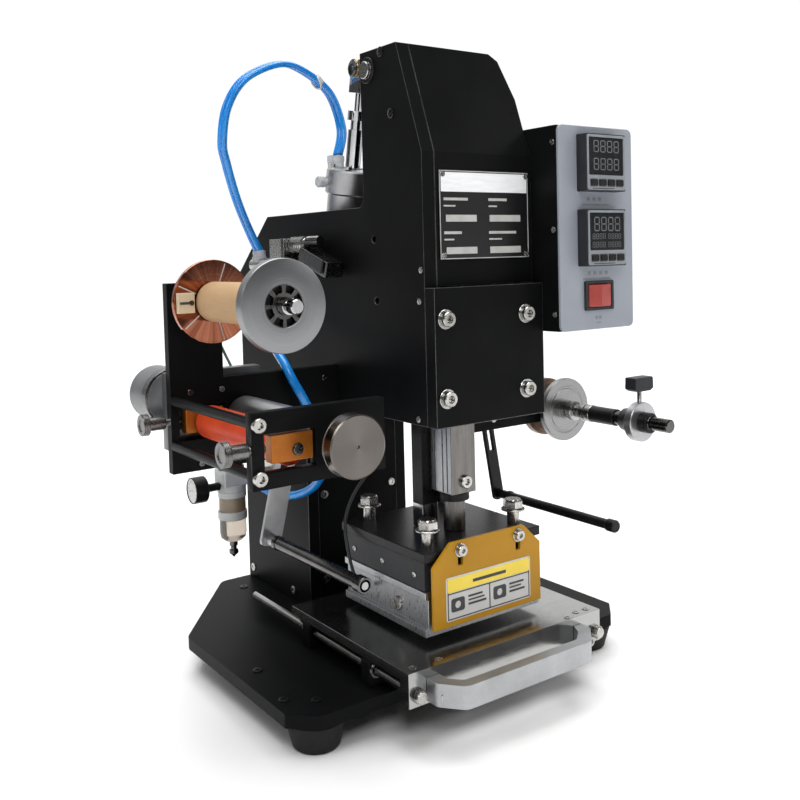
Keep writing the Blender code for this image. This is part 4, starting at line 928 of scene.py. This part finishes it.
def build_air():
    """Filter regulator, gauge, valve and the blue tubes."""
    x, y = -102, 104
    turned = on_axis(ROOT, (x, y, 0), "+Z")
    body = blocks("regulator_body", ROOT, [((x - 13, x + 13), (y - 13, y + 13), (152, 168)),
                                           ((x - 14.4, x + 14.4), (y - 9, y + 9), (155, 166))], PALE, 1.4)
    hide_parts("filter_regulator")
    turned("regulator_bonnet", [(13, 168), (13, 170.6), (12.4, 171.1), (4, 171.1)], PLASTIC, 56)
    profile = [(13.4, 140), (13.4, 104), (12.4, 99), (9, 95.8), (4, 95), (4, 92), (0, 92)]
    turned("filter_bowl", profile, BOWL, 56)
    profile = [(4, 152.4), (13.6, 152.4), (14.2, 151.8), (14.2, 147), (13.6, 146.4), (14.2, 145.8),
               (14.2, 140.6), (13.6, 140), (13.3, 140)]
    turned("bowl_collar", profile, PALE, 56)
    profile = [(14.2, 126), (14.6, 125.6), (14.6, 118.4), (14.2, 118), (13.5, 118), (13.5, 126), (14.2, 126)]
    turned("bowl_ring", profile, PALE, 56)
    turned("filter_element", [(0, 139), (9, 139), (9, 121), (10.4, 120), (10.4, 117), (0, 117)], BEIGE, 56)
    turned("drain_cock", [(4.2, 95), (4.2, 90), (3, 89), (3, 86), (4.6, 85.4), (4.6, 82), (2, 79.6),
                          (0, 77.4)], DARK_STEEL, 56)
    profile = [(0, 196), (9.6, 196), (10.6, 195), *ribs(11.5, 11.0, 193.8, 0.9, 1.8, 11), (11.5, 172.4),
               (11, 171.4), (0, 171.4)]
    knob = lathe("regulator_handwheel", "regulator", profile, (x, y, 0), "+Z", PLASTIC, 40)
    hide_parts("regulator_knob")
    place = (0, 104, 152)
    lathe("gauge_case", ROOT, [(12, 144.6), (12.4, 145), (13, 144.4), (13, 132), (12.4, 131.2), (4, 131),
                               (4, 112)], place, "-X", BLACK_EDGE)
    lathe("gauge_dial", ROOT, [(0, 143.6), (12, 143.6), (12, 142.8)], place, "-X", WHITE)
    lathe("gauge_glass", ROOT, [(0, 144.4), (12, 144.4), (12, 144), (0, 144)], place, "-X", CLEAR)
    data = bmesh.new()
    for k in range(11):
        turn = Matrix.Translation((-143.7, 104, 152)) @ Matrix.Rotation(math.radians(-135 + 27 * k), 4, "X")
        add_box(data, (-0.12, 0.12), (-0.3, 0.3), (8.2, 10.2), turn)
    turn = Matrix.Translation((-143.8, 104, 152)) @ Matrix.Rotation(math.radians(-100), 4, "X")
    add_box(data, (-0.1, 0.1), (-0.35, 0.35), (-2, 7.6), turn)
    piece("gauge_marks", ROOT, data, INK)
    blocks("regulator_bracket", ROOT, [((-89.5, -58.2), (96, 112), (156, 162)),
                                       ((-61, -58.2), (92, 116), (144, 174))], ZINC, 0.6)
    body = blocks("valve_body", ROOT, [((-84, -58.4), (13, 41), (364, 396))], STEEL, 0.8)
    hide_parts("air_valve")
    block("valve_step", ROOT, (-84.4, -58.4), (13.6, 17.6), (363.6, 396.4), DARK_STEEL, 0.4)
    profile = [(0, 15), (7.4, 15)]
    for k in range(7):
        profile += [(8, 14.4 - k * 3.5), (8, 12.6 - k * 3.5), (6.6, 12.2 - k * 3.5), (6.6, 11.2 - k * 3.5)]
    profile += [(5, -11.5), (0, -11.5)]
    lathe("valve_ribbed_end", ROOT, profile, (-71, 0, 390), "+Y", STEEL, 40)
    profile = [(0, -11), (4.4, -11), *ribs(4.5, 3.8, -12, 1, 1.9, 10), (4, -32), (0, -32)]
    lathe("valve_thread", ROOT, profile, (-71, 0, 393), "+Y", DARK_STEEL, 32)
    flat("valve_coil", ROOT, "YZ", [(-10, 388), (-57, 373), (-52.5, 359.5), (-5.5, 374.5)], -80, -61,
         DARK_STEEL, bevel=1.4)
    flat("coil_plug", ROOT, "YZ", [(-28, 383.4), (-54, 375), (-50.4, 363.6), (-24.4, 372)], -82.5, -79.8,
         PLASTIC, bevel=1.0)
    for label, y in (("front", 82), ("rear", 89)):
        lathe(f"valve_port_{label}", ROOT, [(3.3, 12), (4.6, 12), (5, 11.4), (5, 6), (5.8, 5.6), (5.8, 0)],
              (-72, y, 374), "+Z", FROST, 32)
    lathe("valve_port_body", ROOT, [(0, 97), (6, 97), (6.5, 96.4), (6.5, 41)], (-72, 0, 372), "+Y", STEEL, 40)
    loop = [(-8, 31, 479), (0, 36, 504), (-10, 41, 539), (-36, 45, 559), (-60, 51, 565), (-92, 60, 550),
            (-109, 66, 523), (-112, 73, 490), (-107, 77, 471), (-96, 80, 437), (-83, 82, 407), (-72, 82, 385)]
    first = free_hose("blue_tube_supply_up", ROOT, loop, 3, BLUE)
    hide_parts("air_hose_upper")
    last = len(loop) - 1
    second = [(a - 0.6, b + 7, c + (1.5 if 0 < i < last else 0)) for i, (a, b, c) in enumerate(loop)]
    other = free_hose("blue_tube_return", ROOT, second, 3, BLUE)
    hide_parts("air_hose_return")
    lower = [(-71, 28, 361), (-72, 30, 341), (-80, 28, 323), (-92, 18, 309), (-104, 0, 301),
             (-112, -20, 296), (-114, -37, 287), (-111, -47, 272), (-102, -50, 254), (-90, -48, 233),
             (-80, -44, 210), (-75, -33, 187), (-73, -12, 167), (-76, 16, 154), (-81, 45, 149),
             (-86, 68, 153), (-92, 86.5, 161)]
    third = free_hose("blue_tube_supply_down", ROOT, lower, 4, BLUE)
    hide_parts("air_hose_supply")
    data = bmesh.new()
    ring = [(6.6, 2), (8, 2), (8, -2), (6.6, -2), (6.6, 2)]
    add_lathe(data, ring, Matrix.Translation((-22.5, 47, 551)) @ Matrix.Rotation(1.0, 4, "Y"), 24)
    piece("cable_tie", ROOT, data, WHITE)
    tube("feed_lead", ROOT, [(-150, -8, 284), (-152, 6, 300), (-158, 10, 318), (-168, 8, 334),
                             (-176, 0, 352)], 1.2, GREEN_WIRE)


build_frame()
build_linkage()
build_head()
build_table()
build_feed()
build_unwind()
build_rewind()
build_guides()
build_controls()
build_air()


# ---------------------------------------------------------------- camera, floor and light

def studio_part(name, data, finish):
    """A floor or backdrop, drawn in metres."""
    mesh = bpy.data.meshes.new(name)
    data.to_mesh(mesh)
    data.free()
    mesh.materials.append(finish)
    return show(name, mesh)


def build_stage():
    """Pale floor, bright surroundings and soft lamps."""
    data = bmesh.new()
    bmesh.ops.create_grid(data, x_segments=1, y_segments=1, size=FLOOR_HALF)
    paper = surface("studio_paper", (0.91, 0.91, 0.91), (0.93, 0.93, 0.93), (0.7, 0.8), grain=2, bump=0.0)
    floor = studio_part("studio_floor", data, paper)
    glowing, _, shader = shader_of("studio_backdrop")
    shader.inputs["Base Color"].default_value = (0, 0, 0, 1)
    shader.inputs["Emission Color"].default_value = (1, 1, 1, 1)
    shader.inputs["Emission Strength"].default_value = 1.0
    data = bmesh.new()
    bmesh.ops.create_uvsphere(data, u_segments=48, v_segments=24, radius=DOME_RADIUS)
    dome = studio_part("studio_backdrop", data, glowing)
    dome.visible_diffuse = False
    dome.visible_glossy = False
    dome.visible_shadow = False
    world = bpy.data.worlds.new("studio")
    world.use_nodes = True
    tree = world.node_tree
    toward = add(tree, "ShaderNodeTexCoord").outputs["Generated"]
    facing = add(tree, "ShaderNodeVectorMath", [(0, toward)], operation="DOT_PRODUCT")
    facing.inputs[1].default_value = BRIGHT_SIDE
    glow = add(tree, "ShaderNodeMapRange", [("Value", facing.outputs["Value"])],
               interpolation_type="SMOOTHSTEP", From_Min=0.35, From_Max=0.80, To_Min=DIM_SIDE_LEVEL,
               To_Max=1.0)
    back = tree.nodes["Background"]
    back.inputs["Color"].default_value = (1, 1, 1, 1)
    tree.links.new(glow.outputs["Result"], back.inputs["Strength"])
    bpy.context.scene.world = world
    for name, (spot, size, power) in LAMPS.items():
        light = bpy.data.lights.new(name, "AREA")
        light.size = size
        light.energy = power
        lamp = show(name, light)
        lamp.location = spot
        lamp.rotation_euler = (LAMP_AIM - Vector(spot)).to_track_quat("-Z", "Y").to_euler()
    sky = bpy.data.lights.new("overhead", "SUN")
    sky.energy = OVERHEAD_POWER
    sky.angle = OVERHEAD_ANGLE
    show("overhead", sky)


def build_camera():
    """A camera at the measured place: yaw, pitch and roll about the machine's axes."""
    yaw, pitch, roll = (math.radians(angle) for angle in CAMERA_TURN)
    forward = Vector((math.sin(yaw) * math.cos(pitch), math.cos(yaw) * math.cos(pitch), -math.sin(pitch)))
    right = Vector((math.cos(yaw), -math.sin(yaw), 0))
    down = forward.cross(right)
    side = right * math.cos(roll) + down * math.sin(roll)
    lower = down * math.cos(roll) - right * math.sin(roll)
    lens = bpy.data.cameras.new("camera")
    lens.lens = LENS
    lens.sensor_width = SENSOR
    lens.shift_y = LENS_SHIFT
    camera = show("camera", lens)
    rotation = Matrix((side, -lower, -forward)).transposed().to_4x4()
    camera.matrix_world = Matrix.Translation(at(*CAMERA)) @ rotation
    bpy.context.scene.camera = camera


build_stage()
build_camera()
bpy.context.scene.view_settings.view_transform = "Standard"
